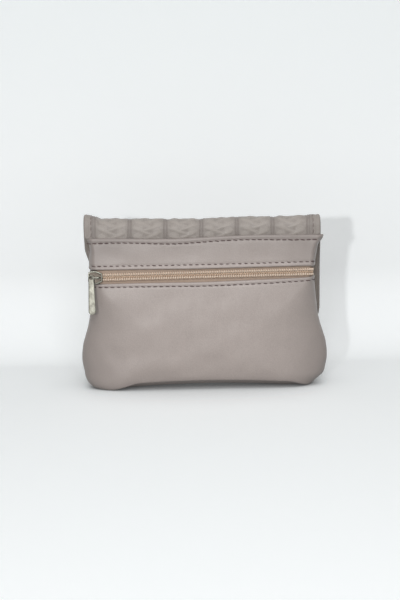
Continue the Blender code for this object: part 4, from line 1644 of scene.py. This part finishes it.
@dataclass
class Linings:
    """Cloth bag of the main compartment and flat pocket behind the zip."""

    body: LeatherBody
    sizes: PurseSizes = SIZES
    lift: float = 3.4 * MM
    side_room: float = 3.4 * MM
    least_shoulder: float = 12.0 * MM
    top: float = 73.5 * MM
    pocket_top: float = 66.5 * MM
    pocket_bottom: float = 13.0 * MM
    pocket_half: float = 55.0 * MM
    pocket_thick: float = 1.4 * MM
    low_gap: float = 3.2 * MM
    keel_room: float = 1.8 * MM
    front_gap: float = 3.0 * MM
    ring_points: int = 128

    def back_gap(self, z: Array) -> Array:
        """Gap from the back's face to the lining: wider where the slider's keel runs."""
        s = self.sizes
        return self.low_gap + self.keel_room * smooth01((z - s.zip_height + 4 * s.window_half) / (2 * s.window_half))

    def ring(self, z: Array, width: Array, turn: Array, back: Array, front: Array, height: Array) -> Array:
        """Rings of the bag: flat sides with quarter ellipses between them.

        Args:
            z: height that the arch is read at.
            width: half width.
            turn: width of the rounded part.
            back: depth of the back side.
            front: depth of the front side.
            height: height of each ring; this and all above are columns.

        Returns:
            Points of the rings.
        """
        half = self.ring_points // 2
        u = np.linspace(-1, 1, half + 1)
        across = np.concatenate((u[:-1], u[:0:-1]))[None, :]
        side = np.concatenate((-np.ones(half), np.ones(half)))[None, :]
        flat = self.body.back.flat
        share = clamp01(np.abs(across) / flat)
        angle = math.pi / 2 * clamp01((np.abs(across) - flat) / (1 - flat))
        x = np.sign(across) * ((width - turn) * share + turn * np.sin(angle))
        depth = np.where(side < 0, back, front)
        y = side * depth * np.cos(angle)
        lift = self.body.back.lift(x, z)
        x = x + self.body.back.tuck(x, z)
        return stacked(x, y + SEAM_Y, height + lift)

    def closed_bag(self, name: str, outer: Array, inner: Array) -> Piece:
        """Bag from rings, joined at the mouth and shut at the floor.

        Args:
            name: name of the piece.
            outer: rings of the outer skin, from the mouth down.
            inner: rings of the inner skin.

        Returns:
            The bag.
        """
        rings = np.concatenate((outer[::-1], inner))
        rows, count = rings.shape[:2]
        faces = quads(rows, count, wrap=True).tolist()
        faces.append(list(range(count - 1, -1, -1)))
        faces.append(list(range((rows - 1) * count, rows * count)))
        return link(mesh_from(name, rings, faces), LINING_CLOTH)

    def build_bag(self) -> Piece:
        """Main lining: rings that follow both walls, less the gussets' folds.

        Returns:
            The bag.
        """
        s = self.sizes
        back, front = self.body.back, self.body.front
        low = s.corner * (1.0 - np.cos(np.linspace(0, math.pi / 2, 7)[:-1])) + self.lift
        top = np.concatenate(([self.top], np.linspace(self.pocket_top, self.pocket_bottom, 34), low[::-1]))[:, None]
        z = top - self.lift
        fold = s.gusset_fold * clamp01((top - s.gusset_start) / (s.gusset_top - s.gusset_start))
        width = back.half_width(z) - s.leather - self.side_room - fold
        turn = np.maximum(back.shoulder(z), self.least_shoulder)
        deep = np.minimum(back.depth(z), back.depth(top)) - self.back_gap(top)
        shallow = np.minimum(front.depth(z), front.depth(top)) - self.front_gap
        outer = self.ring(z, width, turn, deep, shallow, top)
        floor = top + s.cloth * (1.0 - clamp01(z / s.corner))
        inner = self.ring(z, width - s.cloth, turn - s.cloth, deep - s.cloth, shallow - s.cloth, floor)
        return self.closed_bag("main_lining_cloth", outer, inner)

    def build_pocket(self) -> Piece:
        """Zip pocket: rings that are an eighth-power oval, following the back's inner face.

        Returns:
            The bag.
        """
        s = self.sizes
        z = np.linspace(self.pocket_top, self.pocket_bottom, 30)[:, None]
        offset = self.back_gap(z) - self.pocket_thick - s.gap
        angle = circle(72)[None, :]
        grids = []
        for wall, height in ((0.0, z), (0.8 * s.cloth, np.maximum(z, self.pocket_bottom + s.cloth))):
            half = self.pocket_thick / 2 - wall
            deep = np.maximum(0.0, 1.0 - np.abs(np.cos(angle)) ** 8) ** 0.125
            x = (self.pocket_half - wall) * np.cos(angle)
            middle = self.body.back.face(x, z) + offset + self.pocket_thick / 2
            y = middle + np.sign(np.sin(angle)) * half * deep
            grids.append(stacked(x, y, height))
        return self.closed_bag("zip_pocket_cloth", grids[0], grids[1])

    def dress(self) -> List[Piece]:
        """Build both bags, hang them on the purse's body and hide the frame's parts they take the place of.

        Returns:
            The bags.
        """
        bag, pocket = self.build_bag(), self.build_pocket()
        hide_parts("main_lining")
        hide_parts("zip_pocket_bag")
        for piece in (bag, pocket):
            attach(piece, "purse_body")
        return [bag, pocket]


@dataclass
class ZipFrame:
    """Frame of the zip: a along the chain, b up the wall, c out of the wall."""

    wall: Wall
    sizes: PurseSizes = SIZES

    def place(self, points: Array) -> Array:
        """Turn (a, b, c) into the purse's coordinates.

        The frame touches the wall at the zip's height and is turned in that plane by the zip's rise.

        Args:
            points: points in the zip's frame.

        Returns:
            Points of the purse.
        """
        height, step = self.sizes.zip_height, 0.3 * MM
        low, high = self.wall.depth(np.array([height - step, height + step]))
        slope = math.atan(-(high - low) / (2 * step))
        turn = math.atan(self.sizes.zip_rise / math.cos(slope))
        origin = np.array((0.0, SEAM_Y - float(self.wall.depth(np.array(height))), height))
        level = np.array((1.0, 0.0, 0.0))
        rise = np.array((0.0, math.sin(slope), math.cos(slope)))
        out = np.array((0.0, -math.cos(slope), math.sin(slope)))
        along = level * math.cos(turn) + rise * math.sin(turn)
        up = rise * math.cos(turn) - level * math.sin(turn)
        return points @ np.stack((along, up, out)) + origin

    def wrapped(self, points: Array) -> Array:
        """As place, with what lies past the wall's flat part carried round its right shoulder.

        Past the flat part a point turns on a quarter oval by its distance over the oval's mean
        radius.

        Args:
            points: points in the zip's frame.

        Returns:
            Points of the purse.
        """
        wall, height = self.wall, np.array(self.sizes.zip_height)
        turn = float(wall.shoulder(height))
        flat = float(wall.half_width(height)) - turn
        deep = float(wall.depth(height) - wall.edge(height))
        along, up, inside = np.moveaxis(points, -1, 0)
        past = np.maximum(along - flat, 0.0)
        angle = past / ((turn + deep) / 2)
        a = np.where(past > 0, flat + (turn + inside) * np.sin(angle), along)
        c = np.where(past > 0, inside - (deep + inside) * (1.0 - np.cos(angle)), inside)
        placed = self.place(stacked(a, up, c))
        placed[..., 0] += wall.tuck(placed[..., 0], placed[..., 2])
        return placed


@dataclass
class ZipChain:
    """Woven tapes, and on each a coil of nylon round a cord."""

    body: LeatherBody
    line: ZipFrame
    pitch: float = 1.25 * MM
    wire: float = 0.235 * MM
    outer: float = 1.95 * MM
    inner: float = -0.36 * MM
    low: float = -0.95 * MM
    high: float = 0.0
    start: float = -56.2 * MM
    end: float = 63.6 * MM
    tape_edge: float = 1.05 * MM
    tape_width: float = 7.8 * MM
    tape_offset: float = 1.5 * MM
    cord_place: Pair = (1.25 * MM, -0.5 * MM)
    cord_radius: float = 0.42 * MM
    loop_place: float = 1.30 * MM
    loops: StitchMaker = field(default_factory=lambda: StitchMaker(
        length=1.30 * MM, radius=0.29 * MM, sink=0.10 * MM, rings=5))

    def build_tape(self, half: Half) -> Piece:
        """Woven tape with a rolled inner edge, following the wall round its right shoulder.

        Args:
            half: which half.

        Returns:
            The tape, with a sine of ribs across it and one of finer ribs along it.
        """
        s, wall = self.body.sizes, self.body.back
        across = np.linspace(0, 1, 15)[:, None]
        u = np.linspace(-wall.flat, wall.flat + (1 - wall.flat) * self.body.tape_turn, 260)[None, :]
        line = self.body.zip_line(wall.points(s.zip_height, u)[..., 0])
        z = line + half.value * (self.tape_edge + self.tape_width * across)
        x = wall.points(z, u)[..., 0]
        rib = 0.035 * MM * np.sin(2 * math.pi * across / 0.145) - 0.03 * MM * np.sin(2 * math.pi * x / (0.9 * MM))
        outer, inner = (wall.points(z, u, offset) for offset in (self.tape_offset - rib, self.tape_offset + s.cloth))
        return sheet(half.label + "_tape_cloth", outer, inner, TAPE_CLOTH, 0.12 * MM)

    def build_coil(self, half: Half) -> Piece:
        """Coil: a flattened helix, half a pitch along from the one it meshes with.

        Args:
            half: which half.

        Returns:
            The coil.
        """
        turns = int((self.end - self.start) / self.pitch)
        t = np.linspace(0, turns, turns * 14 + 1)
        angle = 2 * math.pi * t
        a = self.start + self.pitch * (t + (0.5 if half is Half.UPPER else 0.0))
        middle, reach = (self.outer + self.inner) / 2, (self.outer - self.inner) / 2
        square = powered(np.cos(angle), 0.8)
        b = half.value * (middle - reach * square)
        c = (self.low + self.high) / 2 + (self.high - self.low) / 2 * np.sin(angle)
        mesh = tube_mesh(half.label + "_teeth", stacked(a, b, c), self.wire, (1.0, 0.0, 0.0), 6)
        mesh.vertices.foreach_set("co", self.line.wrapped(spots(mesh)).ravel())
        return link(mesh, COIL_NYLON)

    def build_cord(self, half: Half) -> Piece:
        """Cord that fills a coil: a straight tube, to half a millimetre from the coil's ends.

        Args:
            half: which half.

        Returns:
            The cord.
        """
        a = np.linspace(self.start + 0.5 * MM, self.end - 0.5 * MM, 160)
        path = stacked(a, half.value * self.cord_place[0], self.cord_place[1])
        mesh = tube_mesh(half.label + "_coil_cord", self.line.wrapped(path), self.cord_radius, (0.0, 0.0, 1.0), 8)
        return link(mesh, TAPE_CLOTH)

    def build_loops(self, half: Half) -> Piece:
        """Light loops over a coil, one across each tooth, that sew it to its tape.

        Args:
            half: which half.

        Returns:
            The loops.
        """
        shift = 0.3 * MM if half is Half.UPPER else 0.0
        a = np.arange(self.start + self.pitch, self.end - self.pitch, self.pitch) + shift
        flat = stacked(a, half.value * self.loop_place, self.high + 0.16 * MM)
        step = np.array((0.0, 0.2 * MM, 0.0))
        here = self.line.wrapped(flat)
        along = self.line.wrapped(flat + step) - self.line.wrapped(flat - step)
        up = self.line.wrapped(flat + np.array((0.0, 0.0, 0.1 * MM))) - here
        return self.loops.row(half.label + "_tooth_stitches", here, along, up, TOOTH_THREAD, 210 + half.value)

    def dress(self) -> List[Piece]:
        """Build tapes, teeth, cords and loops, hang them on the purse's body and hide the frame's parts they take the
        place of.

        Returns:
            The pieces.
        """
        made = []
        for half in Half:
            tape, coil = self.build_tape(half), self.build_coil(half)
            made += [tape, coil, self.build_cord(half), self.build_loops(half)]
            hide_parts("zip_tape_" + half.label)
            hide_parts("zip_coil_" + half.label)
        for piece in made:
            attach(piece, "purse_body")
        return made


@dataclass
class Slider:
    """Cast slider: plates, flanges, diamond and arched bridge, and the pull hanging from it."""

    line: ZipFrame
    centre: float = -58.02 * MM
    half_length: float = 3.9 * MM
    nose: float = 3.6 * MM
    tail: float = 2.7 * MM
    top_low: float = 0.5 * MM
    plate: float = 0.8 * MM
    keel_high: float = -2.3 * MM
    keel_low: float = -3.0 * MM
    flange: Pair = (2.35 * MM, 2.85 * MM)
    post: float = -2.1 * MM
    bridge: Pair = (-2.5 * MM, 2.7 * MM)
    post_width: float = 0.8 * MM
    bar_low: float = 2.7 * MM
    bar_high: float = 3.4 * MM
    bar_half: float = 0.5 * MM
    pull_low: float = 1.6 * MM
    pull_thick: float = 0.8 * MM
    pull_length: float = 21.5 * MM
    neck: float = 1.5 * MM
    end: float = 2.0 * MM
    eye: float = 0.95 * MM
    rim: float = 0.12 * MM
    dish: float = 0.34 * MM
    section: int = 96
    wear: Ease = Ease(0.94 * MM, 0.35 * MM)
    least_wear: float = 0.1
    sharp: float = math.radians(38)

    def outline(self, grow: float) -> Array:
        """Outline of a plate: broad at the nose, narrowing by a smooth step to the tail.

        The half width is the smooth step times the fifth root of one minus the fifth power of the
        place along it.

        Args:
            grow: how far the outline is moved outwards.

        Returns:
            Points (a, b).
        """
        angle = circle(self.section)
        share = powered(np.cos(angle), 0.4)
        a = share * (self.half_length + grow)
        width = self.nose + (self.tail - self.nose) * smooth01((share - 0.05) / 0.75)
        b = powered(np.sin(angle), 0.4) * (width + grow)
        return stacked(a, b)

    def at_height(self, flat: Array, height: float) -> Array:
        """Ring of points (a, b) at a height c."""
        return stacked(flat[:, 0], flat[:, 1], height)

    def lofted(self, rings: Sequence[Array]) -> Solid:
        """Closed solid through rings of equal length, shut by a fan at each end.

        Args:
            rings: the rings, from one end to the other.

        Returns:
            Points and faces.
        """
        grid = np.stack(rings)
        rows, count = grid.shape[:2]
        verts = np.concatenate((grid.reshape(-1, 3), grid[0].mean(axis=0)[None], grid[-1].mean(axis=0)[None]))
        faces = quads(rows, count, wrap=True).tolist()
        j = np.arange(count)
        k = (j + 1) % count
        last = (rows - 1) * count
        faces += stacked(last + count, k, j).tolist()
        faces += stacked(last + count + 1, last + j, last + k).tolist()
        return verts, faces

    def plate_solid(self, low: float, high: float, grow: float, edge: float, dish: float = 0.0) -> Solid:
        """Plate with edges rounded by quarter circles.

        Args:
            low: height of its inner face.
            high: height of its outer face.
            grow: how far its outline is moved outwards.
            edge: radius of its edges.
            dish: how far its outer face is sunk inside a rim.

        Returns:
            Points and faces.
        """
        turn = np.linspace(0, math.pi / 2, 5)
        rings = [(low + edge - edge * math.cos(t), grow - edge + edge * math.sin(t)) for t in turn]
        rings += [(high - edge + edge * math.sin(t), grow - edge + edge * math.cos(t)) for t in turn]
        rings = [(low, grow - 4 * edge)] + rings + [(high, grow - 2.4 * edge), (high - dish, grow - 3.6 * edge)]
        return self.lofted([self.at_height(self.outline(g), c) for c, g in rings])

    def block(self, outline: Array, low: float, high: float, edge: float) -> Solid:
        """Prism of an outline with a chamfered top and bottom.

        Args:
            outline: points (a, b).
            low: height of its foot.
            high: height of its top.
            edge: width of the chamfers.

        Returns:
            Points and faces.
        """
        middle = outline.mean(axis=0)
        away = outline - middle
        size = np.linalg.norm(away, axis=1, keepdims=True)
        return self.lofted([self.at_height(middle + away * (1 - shrink / size), c) for c, shrink in (
            (low, edge), (low + edge, 0.0), (high - edge, 0.0), (high, edge))])

    def arch_path(self) -> Array:
        """Middle line of the bridge: two posts and a slightly bowed bar, with rounded corners.

        Returns:
            Points (a, 0, c).
        """
        left, right = self.bridge[0] + self.post_width / 2, self.bridge[1] - self.post_width / 2
        low = self.top_low + self.plate - 0.3 * MM
        high, corner = (self.bar_low + self.bar_high) / 2, 0.55 * MM
        up = np.linspace(low, high - corner, 6)
        turn = np.linspace(0, math.pi / 2, 7)[1:]
        back = turn - turn[0]
        bar = np.linspace(left + corner, right - corner, 10)[1:-1]
        a = np.concatenate((np.full(6, left), left + corner * (1 - np.cos(turn)), bar,
                            right - corner + corner * np.sin(back), np.full(6, right)))
        c = np.concatenate((up, high - corner + corner * np.sin(turn),
                            high + 0.10 * MM * np.sin(np.linspace(0, math.pi, 8)),
                            high - corner + corner * np.cos(back), up[::-1]))
        return stacked(a, 0.0, c)

    def joined(self, name: str, solids: List[Solid], body: str, node: str) -> Piece:
        """One piece from several closed solids.

        Wear is low inside the plate's rim and 1 on the rim, the bridge and all that stands out more.

        Args:
            name: name of the piece.
            solids: points from the slider's centre, and faces.
            body: the body it rides on.
            node: the node it stands for.

        Returns:
            The piece.
        """
        points, faces, count = [], [], 0
        for verts, sides in solids:
            points.append(verts + np.array((self.centre, 0.0, 0.0)))
            faces += [[index + count for index in side] for side in sides]
            count += len(verts)
        mesh = mesh_from(name, self.line.place(np.concatenate(points)), faces)
        base, out = self.line.place(np.array(((0.0, 0.0, 0.0), (0.0, 0.0, 1.0))))
        level = (spots(mesh) - base) @ (out - base)
        put_values(mesh, "wear", self.least_wear + (1.0 - self.least_wear) * self.wear.at(level))
        piece = link(mesh, ZIP_METAL)
        mesh.set_sharp_from_angle(angle=self.sharp)
        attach(piece, body)
        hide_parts(node)
        return piece

    def tube(self, path: Array, half: float, deep: float) -> Solid:
        """Rounded bar along a path in the plane of a and c, with a slightly squared oval section.

        Args:
            path: its middle line.
            half: half its width across the plane.
            deep: half its depth in the plane.

        Returns:
            Points and faces.
        """
        along = unit(np.gradient(path, axis=0))
        across = np.array((0.0, 1.0, 0.0))
        out = np.cross(along, across)
        angle = circle(12)
        c = powered(np.cos(angle), 0.6) * half
        s = powered(np.sin(angle), 0.6) * deep
        rings = path[:, None, :] + c[None, :, None] * across + s[None, :, None] * out[:, None, :]
        return self.lofted(list(rings))

    def build_body(self) -> Piece:
        """Slider without its pull.

        Returns:
            The slider's body.
        """
        top = self.plate_solid(self.top_low, self.top_low + self.plate, 0.0, 0.22 * MM, self.dish)
        keel = self.plate_solid(self.keel_low, self.keel_high, -0.4 * MM, 0.18 * MM)
        angle = circle(24)
        nose = -self.half_length * 0.96 + 1.1 * MM
        diamond = stacked(nose + 1.1 * MM * np.cos(angle), 0.7 * MM * np.sin(angle))
        solids = [top, keel, self.block(diamond, self.keel_high - 0.35 * MM, self.top_low + 0.4 * MM, 0.05 * MM)]
        left, right = -self.half_length * 0.7, self.half_length * 0.15
        for side in (1, -1):
            low, high = side * self.flange[0], side * self.flange[1]
            corners = np.array(((left, low), (right, low), (right, high), (left, high)))
            ring = np.concatenate([np.linspace(corners[i], corners[(i + 1) % 4], 5)[:-1] for i in range(4)])
            solids.append(self.block(ring, -1.2 * MM, self.top_low + 0.4 * MM, 0.08 * MM))
        solids.append(self.tube(self.arch_path(), self.bar_half, 0.37 * MM))
        return self.joined("slider_casting", solids, "slider", "slider_body")

    def pull_outline(self, inset: float) -> Array:
        """Outline of the pull: round at the eye, straight sides that part slowly, round at the end.

        Args:
            inset: how far it is drawn in.

        Returns:
            Points (a, b) round the eye's centre, anticlockwise.
        """
        turn = np.linspace(0, math.pi, 40)
        half = stacked(np.cos(turn), np.sin(turn))
        head = (self.neck - inset) * half
        foot = np.array((0.0, self.neck + self.end - self.pull_length)) - (self.end - inset) * half
        left = np.linspace(head[-1], foot[0], 46)[1:-1]
        right = np.linspace(foot[-1], head[0], 46)[1:-1]
        return np.concatenate((head, left, foot, right))

    def build_pull(self) -> Piece:
        """Pull: a profile carried round its outline, with a raised rim, a dished face and an eye.

        Every ring follows the outline, drawn in by the profile's distance; the last two rings are
        the eye, whose points lie in the direction of the outline's points.

        Returns:
            The pull.
        """
        low, high = self.pull_low, self.pull_low + self.pull_thick
        outline = self.pull_outline(0.0)
        toward = unit(outline)
        face = high - self.rim
        profile = [(0.16, low), (0.03, low + 0.04 * MM), (0.0, low + 0.16 * MM), (0.0, high - 0.16 * MM),
                   (0.03, high - 0.05 * MM), (0.12, high), (0.28, high), (0.40, high - 0.05 * MM), (0.48, face)]
        rings = [self.at_height(self.pull_outline(inset * MM), c) for inset, c in profile]
        wide = self.eye + 0.05 * MM
        rings += [self.at_height(toward * radius, c) for radius, c in (
            (wide, face), (self.eye, face - 0.06 * MM), (self.eye, low + 0.06 * MM), (wide, low))]
        grid = np.stack(rings)
        rows, count = grid.shape[:2]
        faces = quads(rows, count, wrap=True).tolist()
        j = np.arange(count)
        k, last = (j + 1) % count, (rows - 1) * count
        faces += stacked(last + j, last + k, k, j).tolist()
        points = grid.reshape(-1, 3) + np.array((self.post, 0.0, 0.0))
        return self.joined("slider_pull", [(points, faces)], "pull", "zip_pull")

    def dress(self) -> List[Piece]:
        """Build the slider and its pull."""
        return [self.build_body(), self.build_pull()]


@dataclass
class Snap:
    """Magnetic snap: its turned parts come from the frame and get their plating here."""

    parts: Tuple[str, ...] = ("snap_socket", "snap_socket_washer", "snap_stud", "snap_stud_washer")

    def dress(self) -> List[Piece]:
        """Plate the turned parts.

        Returns:
            The parts.
        """
        made = [bpy.data.objects[name] for name in self.parts]
        for piece in made:
            for slot in piece.material_slots:
                slot.material = SNAP_METAL.material()
        return made


@dataclass
class Studio:
    """Pale sweep, soft light from in front and above, and the camera."""

    distance: float = 0.733
    elevation: float = math.radians(10.0)
    roll: float = math.radians(1.15)
    lens: float = 80.0
    sensor: float = 36.0
    frame_height: int = 600
    frame_width: int = 400
    aim: Tuple[float, float, float] = (0.0, 0.0, 0.047)
    aim_pixel: Pair = (203.5, 301.0)
    floor_reach: float = 1.6
    half_floor: float = 2.0
    wall_top: float = 2.0
    wall_bend: float = 0.05
    wall_place: float = 0.10
    # Paper lighter low down and darker high up: painted shade for light that falls off up the wall
    low_paper: Colour = (246, 249, 250)
    shaded_high_paper: Colour = (229, 234, 235)
    shade_heights: Pair = (0.12, 0.26)
    unseen_paper: Colour = (176, 178, 178)
    paper_glow: float = 0.155
    glow_colour: Colour = (1.0, 0.99, 0.97, 1.0)
    shadow_reach: float = 0.06
    # Painted contact shadow: reach of the occlusion, the span of it that darkens, and the shadow's colour
    shadow_span: Pair = (-0.22, 0.84)
    painted_shadow_paper: Colour = (132, 136, 140)
    world_light: float = 0.22
    world_seen: float = 0.88
    world_colour: Colour = (0.95, 0.98, 1.0, 1.0)

    def sweep_material(self) -> Material:
        """Pale paper, shown a little lighter to the camera than it lights.

        Low down its colour is lighter than high up, painted shade for light that falls off up the wall.
        Close to the purse its colour and glow darken with the ambient occlusion: a painted contact shadow.

        Returns:
            The material.
        """
        g = Graph("pale_paper_sweep")
        rays = g.node("LightPath").outputs
        seen = g.math("MAXIMUM", g.math("MAXIMUM", rays["Is Camera Ray"], rays["Is Glossy Ray"]),
                      rays["Is Transmission Ray"])
        # Painted shade: darker towards the top of the wall
        paper = g.mix(g.span(g.axes()[2], *self.shade_heights), self.low_paper, self.shaded_high_paper)
        # Painted contact shadow: colour and glow darken where the purse hides the open sky
        open_sky = g.node("AmbientOcclusion", {"Distance": self.shadow_reach}, samples=8).outputs["AO"]
        shadow_share = g.span(open_sky, *self.shadow_span)
        colour = g.mix(seen, self.unseen_paper, g.mix(shadow_share, self.painted_shadow_paper, paper))
        g.fix(Specular_IOR_Level=0.1)
        made = g.finish(colour, g.span(g.noise(0.25, 2.0), 0.3, 0.7, 0.85, 0.95))
        glow = g.node("Emission", {"Color": self.glow_colour},
                      {"Strength": g.times(shadow_share, g.times(seen, self.paper_glow))})
        lit = g.node("AddShader", links={0: g.shader.outputs[0], 1: glow.outputs[0]})
        behind = g.node("NewGeometry").outputs["Backfacing"]
        both = g.node("MixShader", links={0: behind, 1: lit.outputs[0], 2: g.node("BsdfTransparent").outputs[0]})
        g.tree.links.new(both.outputs[0], g.tree.nodes["Material Output"].inputs["Surface"])
        return made

    def build_sweep(self) -> Piece:
        """Floor that curves up into a wall behind the purse: a line, a quarter circle, a line.

        It has one side only, and nothing of it shows from behind the wall.

        Returns:
            The sweep.
        """
        bend, back = self.wall_bend, self.wall_place
        turn = np.linspace(0, math.pi / 2, 24)[1:]
        y = np.concatenate((np.linspace(-self.floor_reach, back - bend, 12), back - bend + bend * np.sin(turn),
                            np.full(8, back)))
        z = np.concatenate((np.zeros(12), bend - bend * np.cos(turn), np.linspace(bend, self.wall_top, 9)[1:]))
        x = np.linspace(-self.half_floor, self.half_floor, 21)
        grid = stacked(x, y[:, None], z[:, None])
        mesh = bpy.data.meshes.new("paper_sweep")
        mesh.from_pydata(grid.reshape(-1, 3).tolist(), [], quads(len(y), 21).tolist())
        mesh.polygons.foreach_set("use_smooth", np.ones(len(mesh.polygons), bool))
        piece = put("paper_sweep", mesh)
        mesh.materials.append(self.sweep_material())
        return piece

    def lamp(self, name: str, place: Tuple[float, float, float], size: float, power: float) -> None:
        """Square lamp that faces the purse.

        Args:
            name: its name.
            place: where it stands.
            size: its side.
            power: its power in watts.
        """
        data = bpy.data.lights.new(name, "AREA")
        data.shape = "SQUARE"
        data.size = size
        data.energy = power
        made = put(name, data)
        made.location = place
        made.rotation_euler = (Vector(self.aim) - Vector(place)).to_track_quat("-Z", "Y").to_euler()

    def light(self) -> None:
        """Even world light, and three lamps: one broad in front, a small key at the left, one above."""
        world = bpy.data.worlds.new("studio_light")
        bpy.context.scene.world = world
        world.use_nodes = True
        tree = world.node_tree
        strength = tree.nodes.new("ShaderNodeMapRange")
        strength.inputs[3].default_value = self.world_light
        strength.inputs[4].default_value = self.world_seen
        tree.links.new(tree.nodes.new("ShaderNodeLightPath").outputs["Is Camera Ray"], strength.inputs[0])
        tree.links.new(strength.outputs[0], tree.nodes["Background"].inputs["Strength"])
        tree.nodes["Background"].inputs["Color"].default_value = self.world_colour
        self.lamp("front_softbox", (0.05, -1.0, 0.66), 0.5, 4.2)
        self.lamp("left_key", (-0.27, -1.2, 0.25), 0.035, 3.4)
        self.lamp("top_softbox", (0.05, -0.35, 1.15), 0.8, 3.6)

    def camera(self) -> None:
        """Camera whose aim point falls on its pixel.

        The camera looks along its own axis; the aim point is moved off the middle of the picture by
        the pixel's distance from it, turned by the roll.
        """
        data = bpy.data.cameras.new("view")
        data.lens = self.lens
        data.sensor_width = self.sensor
        data.clip_start = 0.01
        made = put("view", data)
        look = Vector((0.0, math.cos(self.elevation), -math.sin(self.elevation)))
        right = Vector((1.0, 0.0, 0.0))
        up = right.cross(look)
        turn = Matrix.Rotation(self.roll, 3, look)
        right, up = turn @ right, turn @ up
        scale = self.sensor / self.lens * self.distance / self.frame_height
        off_x = (self.aim_pixel[0] - self.frame_width / 2) * scale
        off_y = (self.frame_height / 2 - self.aim_pixel[1]) * scale
        place = Vector(self.aim) - look * self.distance - right * off_x - up * off_y
        axes = Matrix((right, up, -look)).transposed().to_4x4()
        axes.translation = place
        made.matrix_world = axes
        bpy.context.scene.camera = made


def main() -> None:
    """Build the purse from the leather inwards, then the studio."""
    logging.basicConfig(level=logging.INFO, format="%(name)s: %(message)s")
    bpy.context.scene.view_settings.view_transform = "Standard"
    studio = Studio()
    studio.camera()
    body = LeatherBody()
    line = ZipFrame(body.back)
    for maker in (body, BackStitches(body), Flap(body), Linings(body), ZipChain(body, line), Slider(line), Snap()):
        for piece in maker.dress():
            LOG.info("%s %s: %d faces", type(maker).__name__, piece.name, len(piece.data.polygons))
    studio.build_sweep()
    studio.light()


if __name__ == "__main__":
    main()
